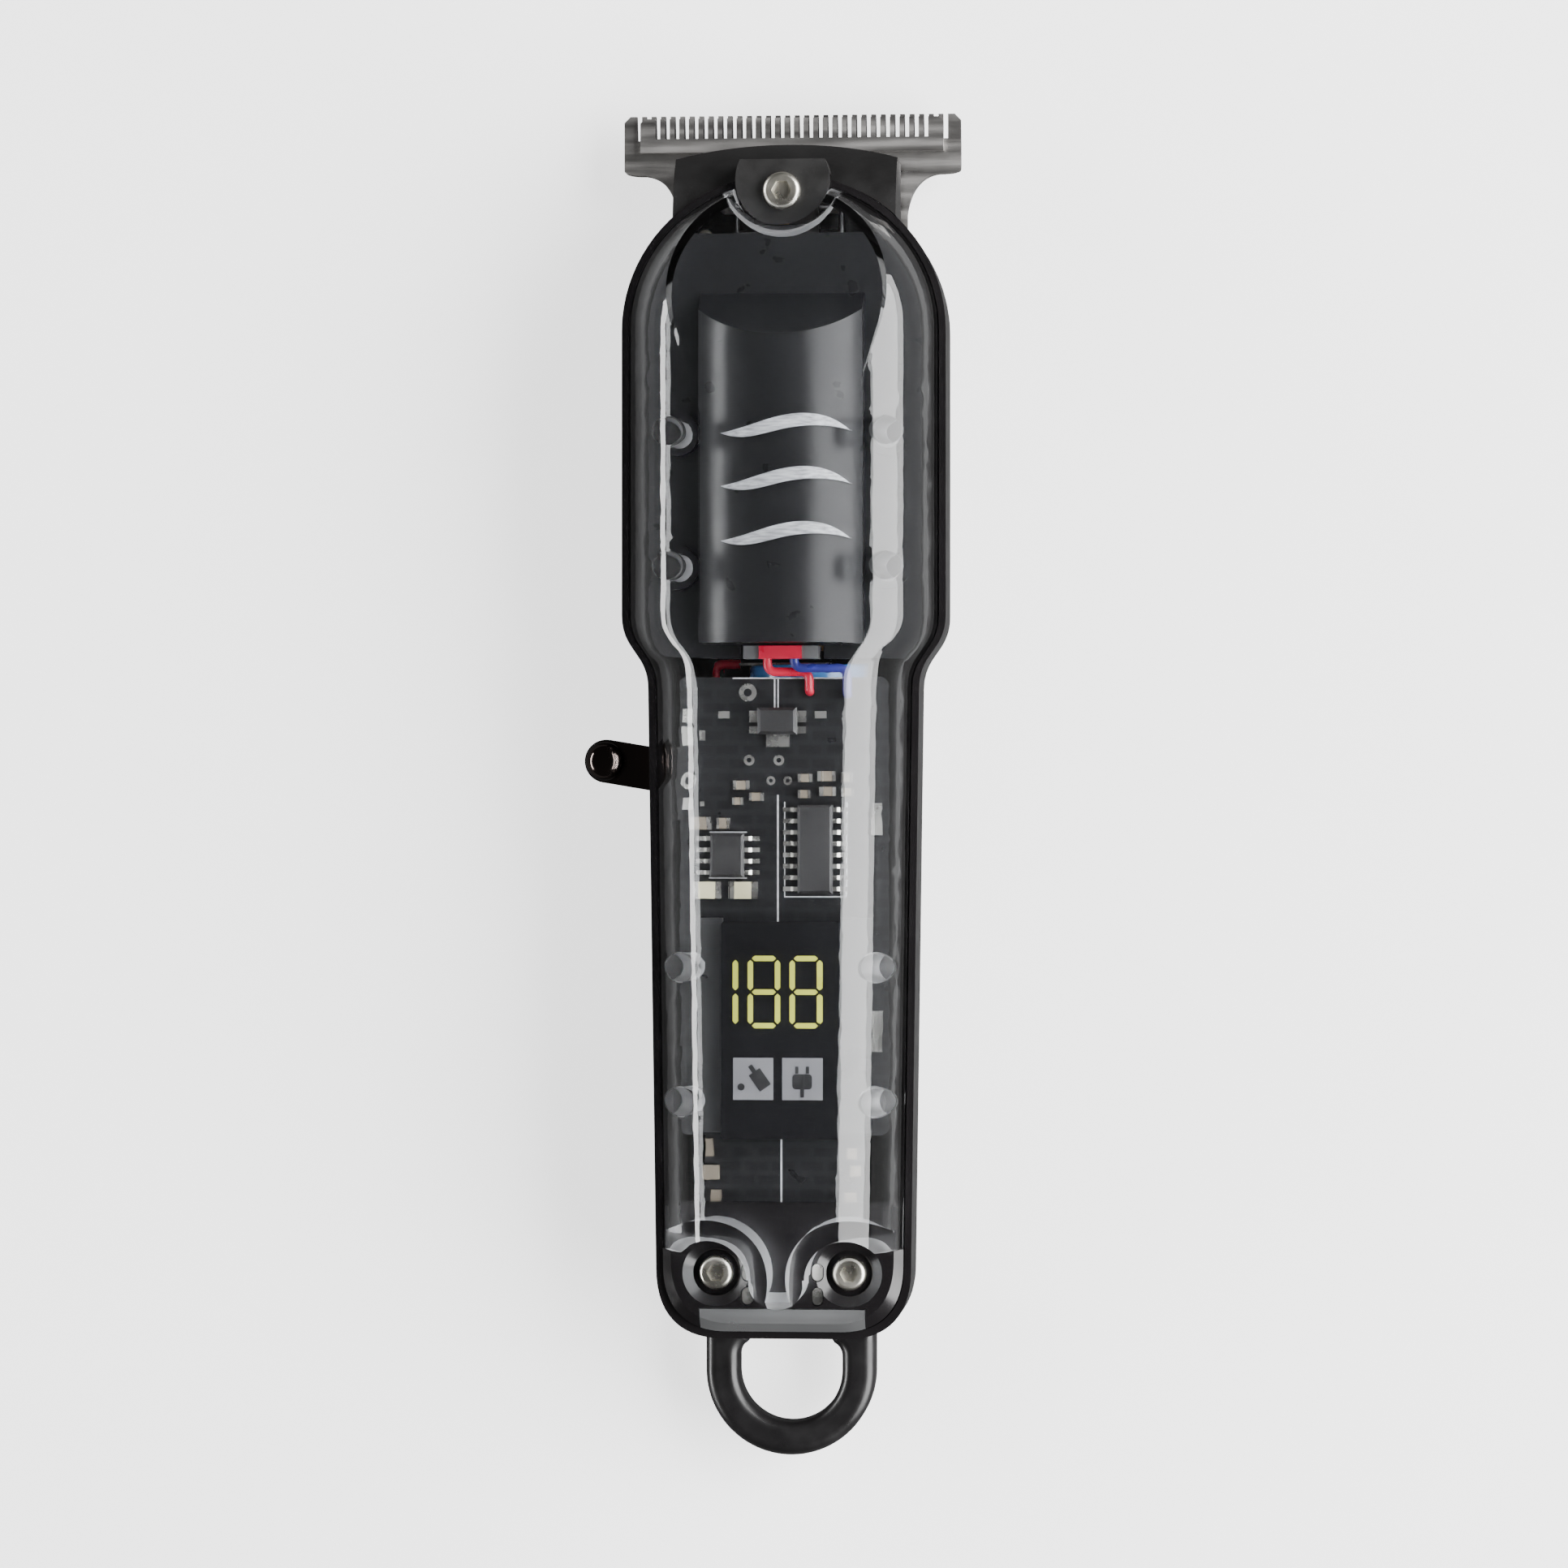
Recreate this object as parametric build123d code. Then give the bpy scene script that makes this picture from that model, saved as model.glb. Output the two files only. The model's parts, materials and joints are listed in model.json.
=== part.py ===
from build123d import *
from math import cos, radians, sin, sqrt, tan
import os

# Cordless hair trimmer with a T-shaped blade, a clear front cover and a digital display.
# It lies on its back: +Z is the front, +Y points to the blade, and x = 0 is its middle plane.
# The origin is on the flat back face, half way along the casing. All sizes are millimetres.

# ---- casing outline in plan (half widths are at the widest level) ----
HEAD_HALF_WIDTH = 18.3
HANDLE_TOP_HALF_WIDTH = 15.3
HANDLE_FOOT_HALF_WIDTH = 14.4
DOME_BASE_Y = 48.0        # straight sides of the head end here, the half ellipse starts
DOME_LENGTH = 17.6
NECK_TOP_Y = 16.0         # head starts to narrow
NECK_FOOT_Y = 7.6         # handle starts
TAIL_Y = -65.5            # lower end of the casing
TAIL_CORNER_LENGTH = 7.8
TAIL_CORNER_WIDTH = 7.4
CORNER_EASE = 20.0        # inset at which a tail corner would have shrunk to nothing

# ---- depths ----
BACK_ROUND_DEPTH = 8.0    # height of the rounding between back face and sides
BACK_ROUND_WIDTH = 6.0
HOUSING_WALL = 2.2
FLOOR = 1.8
LIP_HEIGHT = 0.9          # thin outer lip of the casing round the foot of the cover
LIP_WIDTH = 0.75
SUPPORT_OVER_RIM = 0.4    # board and motor cover rest this far above the parting plane

# ---- clear cover ----
COVER_FOOT_GAP = 0.1
COVER_WALL = 1.5
CROWN_GAP = 0.75          # free space between the motor cover's waves and the clear cover
COVER_SHOULDER = 9.0
SECTION_ANGLES = (0, 18, 36, 54, 70, 82, 90)
NOSE_SLOPE_START_Y = 38.0
NOSE_SLOPE_END_Y = 67.5   # where the sloping front of the cover ends
NOSE_SLOPE_RISE = 2.4     # and its height over the parting plane there
NOTCH_Y = 64.8            # centre of the round notch that clears the top screw
NOTCH_RADIUS = 5.6
NOTCH_LIP = 1.1
EDGE_BAND = 2.2           # thick frosted edge along the lower end of the cover
EDGE_OVER_TAIL = 10.3     # lower edge of the cover beside the screw arches, from the tail
ARCH_RADIUS = 4.3
TONGUE_HALF_WIDTH = 3.0
TONGUE_OVER_TAIL = 4.0
PEG_RADIUS = 1.6
PEG_GAP = 0.1
HEAD_PEG_INSET = 6.5      # pegs from the side of the head
HEAD_PEG_Y = (36.2, 21.2)
HANDLE_PEG_INSET = 1.6    # pegs from the side of the board
HANDLE_PEG_Y = (-23.5, -38.5)

# ---- general fits ----
FIT = 0.1                 # loose fit between moulded pieces
GAP = 0.3                 # free space between pieces that don't touch
RUNNING_FIT = 0.05        # radial clearance of shafts and pivots

# ---- screws ----
TAIL_SCREW_X = 7.5
TAIL_SCREW_OVER_TAIL = 7.5
TAIL_SCREW_HEAD = 1.9
TOP_SCREW_Y = 63.5
TOP_SCREW_HEAD = 2.1
SCREW_HEAD_HEIGHT = 1.2
SCREW_SHANK = 1.0
SCREW_HOLE_GAP = 0.12
RECESS_SHARE = 0.55       # hexagon recess, as a share of the screw head
BOSS_RADIUS = 2.3

# ---- tail cover ----
TAIL_RISE = 2.5           # top of the tail cover over the parting plane
TAIL_WALL = 1.6
TAIL_BEVEL = 1.0
TAIL_RECESS_RADIUS = 2.6
TAIL_DISH_RADIUS = 3.75
TAIL_DISH_DEPTH = 0.7
TAIL_BOSS_WALL = 0.8
TAIL_EDGE_CLEAR = 0.17    # tail cover stays this far inside the leaning wall of the clear cover
TAIL_SEAT_DEPTH = 1.3     # screw heads sit this far below the top of the tail cover

# ---- nose: blade seat and head cover ----
BLADE_SEAT_Y = 56.0
BLADE_SEAT_Z = 5.2
SHELF_END_Y = 61.6
SHELF_TOP_Z = 8.2
MOVING_CLEAR_Z = 7.0      # the casing stays above this in front of the shelf
YOKE_OPENING_HALF = 7.5
YOKE_OPENING_DROP = 3.4   # top of the opening below the parting plane
HEAD_COVER_HALF = 12.6
HEAD_COVER_CORNER_Y = 67.8
HEAD_COVER_PEAK_Y = 69.7
HEAD_COVER_BACK_Y = 59.0
HEAD_COVER_FOOT_Z = 6.9
HEAD_COVER_WALL = 1.3
TAB_GAP = 0.3
TAB_RISE = 1.2            # underside of the screw tab over the parting plane
TAB_THICKNESS = 1.2

# ---- T blade ----
FIXED_THICKNESS = 1.6
FIXED_HALF = 19.35
FIXED_TIP_Y = 73.6
FIXED_ROOT_Y = 70.8
WING_Y = 66.8
WING_CURVE = 4.6
FIXED_NECK_HALF = 13.2
FIXED_BACK_Y = 56.2
TOOTH_PITCH = 1.1
TOOTH_SLOT = 0.55
FIXED_END_TOOTH = 1.6
BEVEL_LENGTH = 3.4
BEVEL_DEPTH = 0.9
BLADE_SCREW = (9.6, 58.9)
BLADE_SCREW_HEAD = 1.75
BLADE_FILM = 0.04         # oil film between the two blades
MOVING_THICKNESS = 1.0
MOVING_HALF = 17.4
MOVING_TIP_Y = 73.2
MOVING_ROOT_Y = 70.9
MOVING_WING_Y = 69.3
MOVING_TAIL_HALF = 7.2
MOVING_TAIL_Y = 62.4
MOVING_END_TOOTH = 1.0
BLADE_STROKE = 1.0        # to each side of the middle

# ---- drive yoke and blade spring ----
YOKE_FORK_Y = 55.6
YOKE_THICKNESS = 1.8
YOKE_HALF = 3.6
YOKE_ARM_LIFT = 0.5       # arm over the spring wire on the shelf
YOKE_ARM_THICKNESS = 1.6
YOKE_FOOT_Y = 64.6
YOKE_PEG_X = 2.2
YOKE_PEG_RADIUS = 0.7
SPRING_RADIUS = 0.35

# ---- motor (flat-sided can, lying along Y) ----
MOTOR_FLOOR_GAP = 1.2
MOTOR_RADIUS = 10.2
MOTOR_FLAT_HALF = 7.7
MOTOR_BACK_Y = 14.0
MOTOR_LENGTH = 32.0
CAN_WALL = 0.7
MAGNET_THICKNESS = 2.2
ARMATURE_RADIUS = 6.3
ARMATURE_LENGTH = 15.0
ARMATURE_BACK_Y = 22.0
COMMUTATOR_RADIUS = 2.4
COMMUTATOR_LENGTH = 4.0
COMMUTATOR_BACK_Y = 17.4
SHAFT_RADIUS = 1.0
BUSH_RADIUS = 2.0
BRUSH_ARM_X = (3.8, 4.2)
PLUG_DROP = 0.4           # foot of the plug, on the brush tags, below the support height
PLUG_HALF = 4.2
PLUG_Y = (10.95, 12.4)
PLUG_HEIGHT = 4.4
PLUG_NOTCH_HALF = 4.7
MOTOR_BOSS_RADIUS = 3.1
MOTOR_BOSS_LENGTH = 1.6
BRACKET_THICKNESS = 1.5
BRACKET_HALF = 12.0
BRACKET_DROP = 0.2        # top of the bracket below the parting plane
MOTOR_SCREW_X = 5.2
CAM_RADIUS = 2.6
CAM_BACK_Y = 51.0
CAM_LENGTH = 3.0
CRANK_PIN_RADIUS = 0.6
CRANK_PIN_LENGTH = 4.4

# ---- motor cover ----
COVER_PLATE = 1.2
MOTOR_COVER_INSET = 2.75
MOTOR_COVER_TOP_Y = 58.6
MOTOR_COVER_FOOT_Y = 11.0
BULGE_WALL = 1.2
BULGE_GAP = 0.3
BULGE_SLOPE = 5.0         # length of the slanted front of the bulge
WAVE_HEIGHT = 0.45
WAVE_Y = (36.9, 31.0, 24.9)
SOCKET_WALL = 0.75
SOCKET_HEIGHT = 1.2

# ---- battery ----
CELL_RADIUS = 7.0
CELL_LENGTH = 50.0
CELL_X = 2.5
CELL_FLOOR_GAP = 0.4
CELL_TOP_GAP = 0.2        # between cell and board
CELL_TOP_Y = 10.4
TAB_STRIP = 0.3
WIRE_RADIUS = 0.55
TAB_REACH_TOP = 1.0       # strips and wires reach this far past the side of the cell
TAB_REACH_FOOT = 0.7
WIRE_REACH_TOP = 4.0
WIRE_REACH_FOOT = 2.2

# ---- main board ----
BOARD_INSET = 2.5         # side of the board from the outline at the foot of the handle
BOARD_TOP_Y = 8.9
BOARD_FOOT_Y = -42.5
BOARD_THICKNESS = 1.2
PIN_PITCH = 1.27
CHIP_WIDTH = 3.9
CHIP_HEIGHT = 1.4
LEG_REACH = 1.7
LEG_WIDTH = 0.5
LEG_THICKNESS = 0.25
PAD_HEIGHT = 0.08
TRANSISTOR = (-0.5, 4.0)
LAMP_X = (-8.6, -4.4)
LAMP_Y = -15.0
LAMP_SIZE = (1.9, 1.9)
SMALL_CHIP = (-6.2, -11.1, 4)      # x, y and pins to a side
LARGE_CHIP = (3.75, -10.4, 8)

# ---- display ----
DISPLAY_SIZE = (13.2, 24.3)
DISPLAY_Y = -30.6
DISPLAY_HEIGHT = 3.6
DIGIT_SIZE = (3.65, 8.1)
DIGIT_CENTRES_X = (-1.75, 2.95)
DIGIT_ONE_X = -4.95
DIGIT_Y = -26.3
SEGMENT_WIDTH = 0.6
SEGMENT_GAP = 0.18
GLOW_HEIGHT = 0.12
ICON_SIZE = (4.5, 4.7)
ICON_X = (-2.95, 2.55)
ICON_Y = -36.0
STRIP_WIDTH = 3.3
STRIP_HEIGHT = 2.0

# ---- power lever and slide switch ----
LEVER_PIVOT_GAP = 2.1     # lever pivot from the side of the cell
LEVER_PIVOT_Y = -2.8
LEVER_DROP = 4.0          # underside of the lever below the board
LEVER_THICKNESS = 1.6
LEVER_HALF_WIDTH = 2.45
LEVER_REST_ANGLE = 9.5    # tip raised towards the blade, from the -X direction
LEVER_TRAVEL = 24.0
LEVER_REACH = 14.0        # pivot to the middle of the thumb knob
KNOB_RADIUS = 2.2
KNOB_HEIGHT = 2.6
LEVER_PIN_RADIUS = 1.0
NIB_INSET = 3.9           # switch nib from the outline at the top of the handle
NIB_RADIUS = 0.6
SWITCH_SIZE = (2.5, 8.2, 1.9)
SLIDER_HALF = 1.2

# ---- charging board and socket ----
CHARGE_BOARD_DROP = 1.8   # underside below that of the main board
CHARGE_BOARD_OVERLAP = 1.5         # the two boards overlap by this length
CHARGE_BOARD_SHOULDER = 12.9       # shoulder and foot from the tail
CHARGE_BOARD_FOOT = 2.5
CHARGE_BOARD_HALF = 9.2
USB_WIDTH = 8.94
USB_HEIGHT = 3.26
USB_LENGTH = 7.35
USB_WALL = 0.3
USB_SET_BACK = 0.5        # mouth of the socket inside the end face
USB_LEG_X = 4.32
USB_LEG_OVER_TAIL = (7.6, 4.9)
LUG_X = 3.95              # middle of the solder lugs seen in the tail cover's windows
LUG_SIZE = (1.2, 1.9)
HEADER_PINS = 5
HEADER_INSET = 0.7        # pins from the foot of the main board
CHARGE_POSTS = (7.0, -47.0)
GUIDE_BAR_WIDTH = 18.6    # frosted light bar across the tail
GUIDE_BAR_LENGTH = 2.6

# ---- hanging loop ----
LOOP_RADIUS = 9.7
LOOP_REACH = 4.55         # centre of the ring beyond the tail
LOOP_HOLE_RADIUS = 5.9
LOOP_HOLE_GAP = 1.2       # straight edge of the eye beyond the tail
LOOP_Z = 3.0
LOOP_THICKNESS = 5.0
SHANK_HALF = 4.2
SHANK_THICKNESS = 3.8
FLANGE_HALF = 5.2
FLANGE_STAND_OFF = 1.3    # flange clears the rounded foot of the end wall
LOOP_EDGE = 1.2

# ---- heights that follow from what lies below ----
CELL_Z = FLOOR + CELL_FLOOR_GAP + CELL_RADIUS
MOTOR_Z = FLOOR + MOTOR_FLOOR_GAP + MOTOR_RADIUS
SUPPORT_Z = max(CELL_Z + CELL_RADIUS + CELL_TOP_GAP, MOTOR_Z + MOTOR_BOSS_RADIUS + FIT)
RIM_Z = SUPPORT_Z - SUPPORT_OVER_RIM      # parting plane of casing and clear cover
CROWN_Z = MOTOR_Z + MOTOR_RADIUS + BULGE_GAP + BULGE_WALL + WAVE_HEIGHT + CROWN_GAP + COVER_WALL
COVER_HEIGHT = CROWN_Z - RIM_Z
NOSE_SLOPE_END_Z = RIM_Z + NOSE_SLOPE_RISE
TAIL_TOP_Z = RIM_Z + TAIL_RISE
COVER_LEAN = (COVER_SHOULDER - COVER_WALL) * (1 - sqrt(1 - (TAIL_RISE / (COVER_HEIGHT - COVER_WALL)) ** 2))
TAIL_EDGE_GAP = COVER_LEAN + TAIL_EDGE_CLEAR
TAIL_SEAT_Z = TAIL_TOP_Z - TAIL_SEAT_DEPTH
TAB_Z = RIM_Z + TAB_RISE
YOKE_OPENING_TOP_Z = RIM_Z - YOKE_OPENING_DROP
YOKE_ARM_Z = SHELF_TOP_Z + 2 * SPRING_RADIUS + YOKE_ARM_LIFT
BRACKET_TOP_Z = RIM_Z - BRACKET_DROP
PLUG_Z = SUPPORT_Z - PLUG_DROP
PLUG_TOP_Z = PLUG_Z + PLUG_HEIGHT
CHARGE_BOARD_Z = SUPPORT_Z - CHARGE_BOARD_DROP
LEVER_Z = SUPPORT_Z - LEVER_DROP

# ---- places in plan that follow from the outline and the tail ----
CELL_SIDE = CELL_X - CELL_RADIUS
BOARD_HALF = HANDLE_FOOT_HALF_WIDTH - BOARD_INSET
HEAD_PEGS = [(HEAD_HALF_WIDTH - HEAD_PEG_INSET, y) for y in HEAD_PEG_Y]
HANDLE_PEGS = [(BOARD_HALF - HANDLE_PEG_INSET, y) for y in HANDLE_PEG_Y]
LEVER_PIVOT = (CELL_SIDE - LEVER_PIVOT_GAP, LEVER_PIVOT_Y)
NIB_X = NIB_INSET - HANDLE_TOP_HALF_WIDTH
EDGE_Y = TAIL_Y + EDGE_OVER_TAIL
TONGUE_END_Y = TAIL_Y + TONGUE_OVER_TAIL
TAIL_SCREW = (TAIL_SCREW_X, TAIL_Y + TAIL_SCREW_OVER_TAIL)
CHARGE_BOARD_TOP_Y = BOARD_FOOT_Y + CHARGE_BOARD_OVERLAP
CHARGE_BOARD_SHOULDER_Y = TAIL_Y + CHARGE_BOARD_SHOULDER
CHARGE_BOARD_FOOT_Y = TAIL_Y + CHARGE_BOARD_FOOT
USB_MOUTH_Y = TAIL_Y + USB_SET_BACK
USB_LEG_Y = [TAIL_Y + leg for leg in USB_LEG_OVER_TAIL]
HEADER_Y = BOARD_FOOT_Y + HEADER_INSET
LOOP_CENTRE_Y = TAIL_Y - LOOP_REACH
LOOP_HOLE_TOP_Y = TAIL_Y - LOOP_HOLE_GAP

COVER_FOOT_INSET = LIP_WIDTH + COVER_FOOT_GAP
FIXED_Z = BLADE_SEAT_Z - FIXED_THICKNESS
MOVING_Z = BLADE_SEAT_Z + BLADE_FILM
MOTOR_FRONT_Y = MOTOR_BACK_Y + MOTOR_LENGTH
BOARD_TOP_Z = SUPPORT_Z + BOARD_THICKNESS
PLATE_TOP_Z = SUPPORT_Z + COVER_PLATE
NIB_REST_Y = LEVER_PIVOT[1] + (LEVER_PIVOT[0] - NIB_X) * tan(radians(LEVER_REST_ANGLE))
LEVER_END_ANGLE = LEVER_REST_ANGLE - LEVER_TRAVEL
NIB_END_Y = LEVER_PIVOT[1] + (LEVER_PIVOT[0] - NIB_X) * tan(radians(LEVER_END_ANGLE))


# ================= helpers =================

def block(x_range, y_range, z_range):
    """Box between three pairs of limits."""
    size = [high - low for low, high in (x_range, y_range, z_range)]
    middle = [(high + low) / 2 for low, high in (x_range, y_range, z_range)]
    return Pos(*middle) * Box(*size)


def rod(x, y, z_low, z_high, radius):
    """Upright cylinder."""
    return Pos(x, y, (z_low + z_high) / 2) * Cylinder(radius, z_high - z_low)


def rod_y(x, z, y_low, y_high, radius):
    """Cylinder that lies along Y."""
    return Pos(x, (y_low + y_high) / 2, z) * Rot(90, 0, 0) * Cylinder(radius, y_high - y_low)


def both_sides(points):
    """The points and their mirror images across the middle plane."""
    return [(side * x, y) for x, y in points for side in (1, -1)]


def outline(inset, z):
    """Plan outline of the casing, set in all round, as a face at height z."""
    head = HEAD_HALF_WIDTH - inset
    handle_top = HANDLE_TOP_HALF_WIDTH - inset
    handle_foot = HANDLE_FOOT_HALF_WIDTH - inset
    end_y = TAIL_Y + inset
    ease = 1 - inset / CORNER_EASE
    corner_y = end_y + TAIL_CORNER_LENGTH * ease
    corner_x = handle_foot - TAIL_CORNER_WIDTH * ease
    neck_y = (NECK_TOP_Y + NECK_FOOT_Y) / 2
    pull_y = corner_y - 0.615 * TAIL_CORNER_LENGTH * ease
    pull_x = corner_x + 0.675 * TAIL_CORNER_WIDTH * ease

    def side(sign):
        return [
            Line((sign * head, DOME_BASE_Y), (sign * head, NECK_TOP_Y)),
            Bezier((sign * head, NECK_TOP_Y), (sign * head, neck_y),
                   (sign * handle_top, neck_y), (sign * handle_top, NECK_FOOT_Y)),
            Line((sign * handle_top, NECK_FOOT_Y), (sign * handle_foot, corner_y)),
            Bezier((sign * handle_foot, corner_y), (sign * handle_foot, pull_y),
                   (sign * pull_x, end_y), (sign * corner_x, end_y)),
        ]

    dome = EllipticalCenterArc((0, DOME_BASE_Y), head, DOME_LENGTH - inset, 0, arc_size=180)
    foot = Line((corner_x, end_y), (-corner_x, end_y))
    return Pos(0, 0, z) * make_face([dome] + side(1) + [foot] + side(-1))


def rounded_body(foot_inset, foot_z, round_width, round_height):
    """Closed body whose outline shrinks along a quarter ellipse from foot_z to its flat end."""
    sections = []
    for angle in SECTION_ANGLES:
        inset = foot_inset + round_width * (1 - cos(radians(angle)))
        sections.append(outline(inset, foot_z + round_height * sin(radians(angle))))
    return loft(sections)


def prism(inset, z_low, z_high):
    """Straight-sided body with the casing's outline."""
    return extrude(outline(inset, z_low), z_high - z_low)


def screw(head_radius, shank_length, shank_radius=SCREW_SHANK, head_height=SCREW_HEAD_HEIGHT):
    """Pan-head screw with a hexagon recess, its seat at z = 0 and its shank along -Z."""
    head = Pos(0, 0, head_height / 2) * Cylinder(head_radius, head_height)
    head = fillet(head.edges().group_by(Axis.Z)[-1], head_height * 0.45)
    shank = Pos(0, 0, -shank_length / 2) * Cylinder(shank_radius, shank_length)
    hexagon = RegularPolygon(head_radius * RECESS_SHARE, 6)
    recess = Pos(0, 0, head_height * 0.4) * extrude(hexagon, head_height)
    return head + shank - recess


def group(pieces):
    """Several separate solids kept in one node."""
    return Compound(children=[solid for piece in pieces for solid in piece.solids()])


# ================= casing =================

def housing_outside(grow=0.0):
    """Full outer volume of the rear housing, grown evenly for clearance cuts."""
    lower = rounded_body(-grow, BACK_ROUND_DEPTH, BACK_ROUND_WIDTH, -BACK_ROUND_DEPTH)
    return lower + prism(-grow, BACK_ROUND_DEPTH, RIM_Z)


def nose_slope(lift, z_low, z_high):
    """Volume under the sloping front of the clear cover, lowered by `lift`."""
    end_y, end_z = NOSE_SLOPE_END_Y, NOSE_SLOPE_END_Z
    profile = [
        Line((TAIL_Y - 5, z_high), (NOSE_SLOPE_START_Y, z_high)),
        Bezier((NOSE_SLOPE_START_Y, z_high), (NOSE_SLOPE_START_Y + 13, z_high),
               (end_y - 8, end_z - lift + 6), (end_y, end_z - lift)),
        Polyline((end_y, end_z - lift), (end_y, z_low), (TAIL_Y - 5, z_low), (TAIL_Y - 5, z_high)),
    ]
    face = Plane.YZ * make_face(profile)
    return extrude(face, HEAD_HALF_WIDTH + 5, both=True)


def cover_outside():
    """Outer volume of the clear cover."""
    body = rounded_body(COVER_FOOT_INSET, RIM_Z, COVER_SHOULDER, COVER_HEIGHT)
    return body & nose_slope(0, RIM_Z - 1, RIM_Z + COVER_HEIGHT)


def cover_inside():
    """Hollow under the clear cover."""
    body = rounded_body(COVER_FOOT_INSET + COVER_WALL, RIM_Z,
                        COVER_SHOULDER - COVER_WALL, COVER_HEIGHT - COVER_WALL)
    return body & nose_slope(COVER_WALL, RIM_Z - 1, RIM_Z + COVER_HEIGHT - COVER_WALL)


def tail_region(inset):
    """Plan region of the clear cover: straight edge, two screw arches and a round-ended tongue."""
    screw_x, screw_y = TAIL_SCREW
    tongue_half = TONGUE_HALF_WIDTH - inset
    tongue_y = TONGUE_END_Y + inset + tongue_half
    upper = Pos(0, (EDGE_Y + inset + 80) / 2) * Rectangle(60, 80 - EDGE_Y - inset)
    web = Pos(0, (screw_y + EDGE_Y) / 2) * Rectangle(2 * screw_x, EDGE_Y - screw_y + 2 * inset + 0.02)
    tongue = Pos(0, (tongue_y + EDGE_Y) / 2) * Rectangle(2 * tongue_half, EDGE_Y - tongue_y + 1)
    tip = Pos(0, tongue_y) * Circle(tongue_half)
    arches = [Pos(side * screw_x, screw_y) * Circle(ARCH_RADIUS + inset) for side in (1, -1)]
    return upper + web + tongue + tip - arches[0] - arches[1]


def tall(sketch, z_low, z_high):
    """Upright prism over a plan sketch."""
    return extrude(Pos(0, 0, z_low) * sketch, z_high - z_low)


def clear_cover():
    """Clear front cover: shell, lips at notch and lower edge, locating pegs."""
    outside = cover_outside()
    shell = outside - cover_inside()
    top_z = RIM_Z + COVER_HEIGHT
    band = tall(tail_region(0) - tail_region(EDGE_BAND), TAIL_TOP_Z + 0.2, top_z)
    notch_lip = rod(0, NOTCH_Y, PLATE_TOP_Z + GAP, top_z, NOTCH_RADIUS + NOTCH_LIP)
    pegs = [rod(x, y, PLATE_TOP_Z + FIT, top_z, PEG_RADIUS)
            for x, y in both_sides(HEAD_PEGS + HANDLE_PEGS)]
    body = shell + (band & outside) + (notch_lip & outside)
    for peg in pegs:
        body += peg & outside
    body &= tall(tail_region(0), RIM_Z - 1, top_z + 1)
    return body - rod(0, NOTCH_Y, RIM_Z - 1, top_z + 1, NOTCH_RADIUS)


def tail_outside():
    """Outer volume of the tail cover: straight foot and bevelled top."""
    bevel_z = TAIL_TOP_Z - TAIL_BEVEL
    bevel = loft([outline(COVER_FOOT_INSET, bevel_z), outline(COVER_FOOT_INSET + TAIL_BEVEL, TAIL_TOP_Z)],
                 ruled=True)
    return prism(COVER_FOOT_INSET, RIM_Z, bevel_z) + bevel


def tail_cover():
    """Black cover below the clear one, with two dished screw recesses and slots for socket lugs."""
    outside = tail_outside()
    inside = prism(COVER_FOOT_INSET + TAIL_WALL, RIM_Z - 1, TAIL_TOP_Z - TAIL_WALL)
    zone = tall(Pos(0, -80) * Rectangle(60, 60), RIM_Z - 1, TAIL_TOP_Z + 1)
    edge_inset = COVER_FOOT_INSET + COVER_WALL + TAIL_EDGE_GAP
    rim = prism(-1, RIM_Z - 1, TAIL_TOP_Z + 1) - prism(edge_inset, RIM_Z - 1, TAIL_TOP_Z + 1)
    rim &= block((-30, 30), (EDGE_Y - FIT, 0), (RIM_Z - 1, TAIL_TOP_Z + 1))
    screws = both_sides([TAIL_SCREW])
    for x, y in screws:
        inside -= rod(x, y, RIM_Z - 1, TAIL_TOP_Z + 1, TAIL_RECESS_RADIUS + TAIL_BOSS_WALL)
    body = (outside - inside) & zone
    body -= rim
    for x, y in screws:
        body -= rod(x, y, RIM_Z - 1, TAIL_TOP_Z + 1, SCREW_SHANK + SCREW_HOLE_GAP)
        body -= rod(x, y, TAIL_SEAT_Z, TAIL_TOP_Z + 1, TAIL_RECESS_RADIUS)
        dish_radius = TAIL_DISH_RADIUS + (TAIL_DISH_RADIUS - TAIL_RECESS_RADIUS)
        dish = Cone(TAIL_RECESS_RADIUS, dish_radius, 2 * TAIL_DISH_DEPTH)
        body -= Pos(x, y, TAIL_TOP_Z) * dish
    for side in (1, -1):
        for y in USB_LEG_Y:
            window = SlotOverall(LUG_SIZE[1] + 2 * FIT, LUG_SIZE[0] + 2 * FIT, rotation=90)
            body -= tall(Pos(side * LUG_X, y) * window, RIM_Z - 1, TAIL_TOP_Z + 1)
    half = GUIDE_BAR_WIDTH / 2
    slot = block((-half - FIT, half + FIT), (TAIL_Y, guide_bar_top() + FIT),
                 (TAIL_TOP_Z - TAIL_WALL, TAIL_TOP_Z + 1))
    return body - slot


def guide_bar_top():
    """Upper end of the light bar, which reaches to the end face of the casing."""
    return TAIL_Y + COVER_FOOT_INSET + GUIDE_BAR_LENGTH


def port_light_guide():
    """Frosted bar across the tail that carries the charging light to the end face."""
    half = GUIDE_BAR_WIDTH / 2
    bar = block((-half, half), (TAIL_Y, guide_bar_top()), (TAIL_TOP_Z - TAIL_WALL, TAIL_TOP_Z))
    return bar & tail_outside()


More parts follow.
